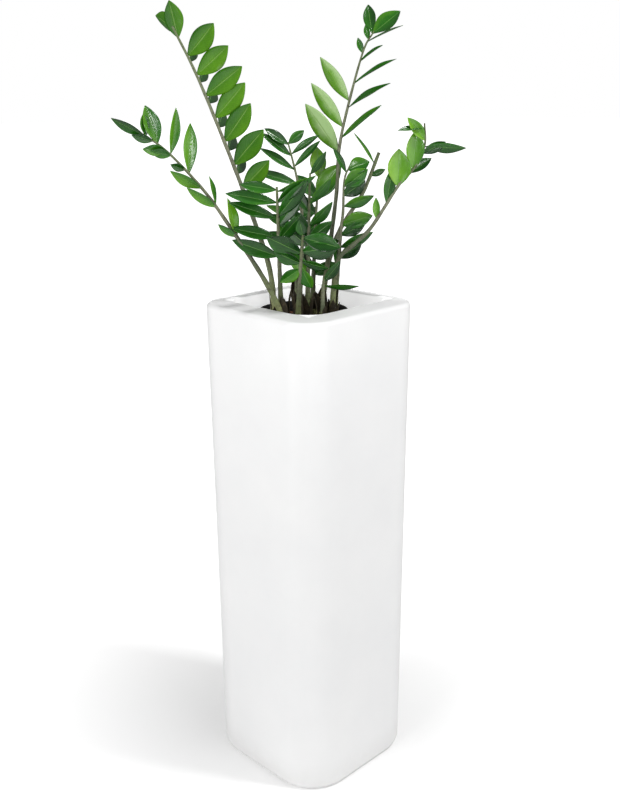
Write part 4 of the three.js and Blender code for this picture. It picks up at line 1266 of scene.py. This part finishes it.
def grow(number, frond):
    rng = random.Random(100 + number)
    node = f"frond_{number}"
    curve = frond_curve(frond)
    leaves = leaf_object(node + "_leaves", frond_leaves(frond, curve), rng)
    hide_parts(node)
    for piece in (leaves, stalk_object(node + "_stalk", curve, frond["thick"])):
        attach(piece, BODY_OF[node])


def dry_sheaths():
    """Three dry scale leaves round the foot of each stalk, half wrapped round it, which also fill the gaps
    there with painted shade.
    """
    rng = random.Random(7)
    leaves = []
    for frond in FRONDS:
        foot = frond_curve(frond).at(0) - Vector((0, 0, SHEATH_DEPTH * MM))
        turn = rng.uniform(0, 2 * pi)
        for i in range(3):
            angle = turn + 2 * pi * i / 3 + rng.uniform(-0.4, 0.4)
            out = Vector((*polar(0, 0, 1, angle), 0))
            along = (Vector((0, 0, 1)) + out * rng.uniform(0.0, 0.12)).normalized()
            leaves.append(dict(root=foot + out * SHEATH_AWAY * MM, along=along, normal=-square_to(out, along),
                               length=rng.uniform(*SHEATH_LENGTH) * MM,
                               half=rng.uniform(*SHEATH_HALF) * MM, shade=0.5))
    sheaths = leaf_object("dry_sheaths", leaves, rng, SHEATH, SHEATH)
    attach(sheaths, BODY_OF["bark_mulch"])


for number, frond in enumerate(FRONDS, 1):
    grow(number, frond)
dry_sheaths()


# ---- floor, light and world

# Painted light: the floor glows to the camera, least beside the planter
PAINTED_FLOOR_GLOW = 0.15  # of the floor beside the planter, to the camera
WORLD_GLOW = 0.3  # of the surroundings, as a light
LIGHTS_AIM = Vector((0, 0, 0.45))


def camera_ray(tree):
    return tree.nodes.new("ShaderNodeLightPath").outputs["Is Camera Ray"]


def floor_material():
    """A white studio floor with painted light: to the camera it glows a little beside the planter and more
    further out, fading the cast shadows.
    """
    shader = Shader("studio_floor", 0.8, Specular_IOR_Level=0.1)
    shader.mottle(1.5, 2, (0.93, 0.93, 0.93), (0.95, 0.95, 0.95))
    away = shader.add("ShaderNodeVectorMath", {0: shader.place()}, operation="LENGTH").outputs["Value"]
    glow = shader.math("MULTIPLY", shader.remap(away, 0.15, 1.0, PAINTED_FLOOR_GLOW, 1.0), camera_ray(shader.tree))
    shader.glow(glow)
    return shader.material


def make_floor():
    reach = 30
    corners = [(-reach, -reach, 0), (reach, -reach, 0), (reach, reach, 0), (-reach, reach, 0)]
    floor = mesh_object("studio_floor", corners, [(0, 1, 2, 3)])
    floor.data.materials.append(floor_material())


def area_light(name, azimuth, elevation, away, size, power):
    """A soft square light that looks at LIGHTS_AIM; angles in degrees."""
    out, up = radians(azimuth), radians(elevation)
    direction = Vector((cos(out) * cos(up), sin(out) * cos(up), sin(up)))
    data = bpy.data.lights.new(name, "AREA")
    data.size = size
    data.energy = power
    light = placed(name, data)
    light.location = LIGHTS_AIM + direction * away
    light.rotation_euler = direction.to_track_quat("Z", "Y").to_euler()
    return light


def spot_light(name, place, target, cone, power):
    """A soft-edged spot; the cone is its full angle in degrees."""
    data = bpy.data.lights.new(name, "SPOT")
    data.energy = power
    data.spot_size = radians(cone)
    data.spot_blend = 1
    data.shadow_soft_size = 0.15
    light = placed(name, data)
    light.location = place
    light.rotation_euler = (Vector(target) - Vector(place)).to_track_quat("-Z", "Y").to_euler()


def make_world():
    """White surroundings, as the camera sees them; the light that they shed is a soft grey."""
    world = bpy.data.worlds.new("studio")
    bpy.context.scene.world = world
    world.use_nodes = True
    tree = world.node_tree
    backdrop = tree.nodes["Background"]
    backdrop.inputs["Color"].default_value = (1, 1, 1, 1)
    surroundings = tree.nodes.new("ShaderNodeBackground")
    surroundings.inputs["Color"].default_value = (1, 1, 1, 1)
    surroundings.inputs["Strength"].default_value = WORLD_GLOW
    chosen = tree.nodes.new("ShaderNodeMixShader")
    tree.links.new(camera_ray(tree), chosen.inputs[0])
    tree.links.new(surroundings.outputs[0], chosen.inputs[1])
    tree.links.new(backdrop.outputs[0], chosen.inputs[2])
    tree.links.new(chosen.outputs[0], tree.nodes["World Output"].inputs["Surface"])


def kept_to(light, piece):
    """Flags a light so that it falls on one piece only."""
    lit = bpy.data.collections.new(light.name + "_lights")
    lit.objects.link(piece)
    light.light_linking.receiver_collection = lit


def make_lights():
    """A small high key, a broad low fill on each front side, one on the shell's back, a spot on the plant."""
    area_light("key", 26, 59, 2.5, 0.3, 26)
    area_light("left_fill", 262, 18, 2.2, 1.6, 26)
    area_light("right_fill", 2, 15, 2.4, 1.6, 15)
    kept_to(area_light("back_fill", 135, 0, 2.4, 1.2, 17), bpy.data.objects["planter_shell"])
    spot_light("plant_spot", (1.25, -1.5, 1.25), (0, 0, 0.92), 26, 30)


make_floor()
make_world()
make_lights()
bpy.context.scene.view_settings.view_transform = "Standard"
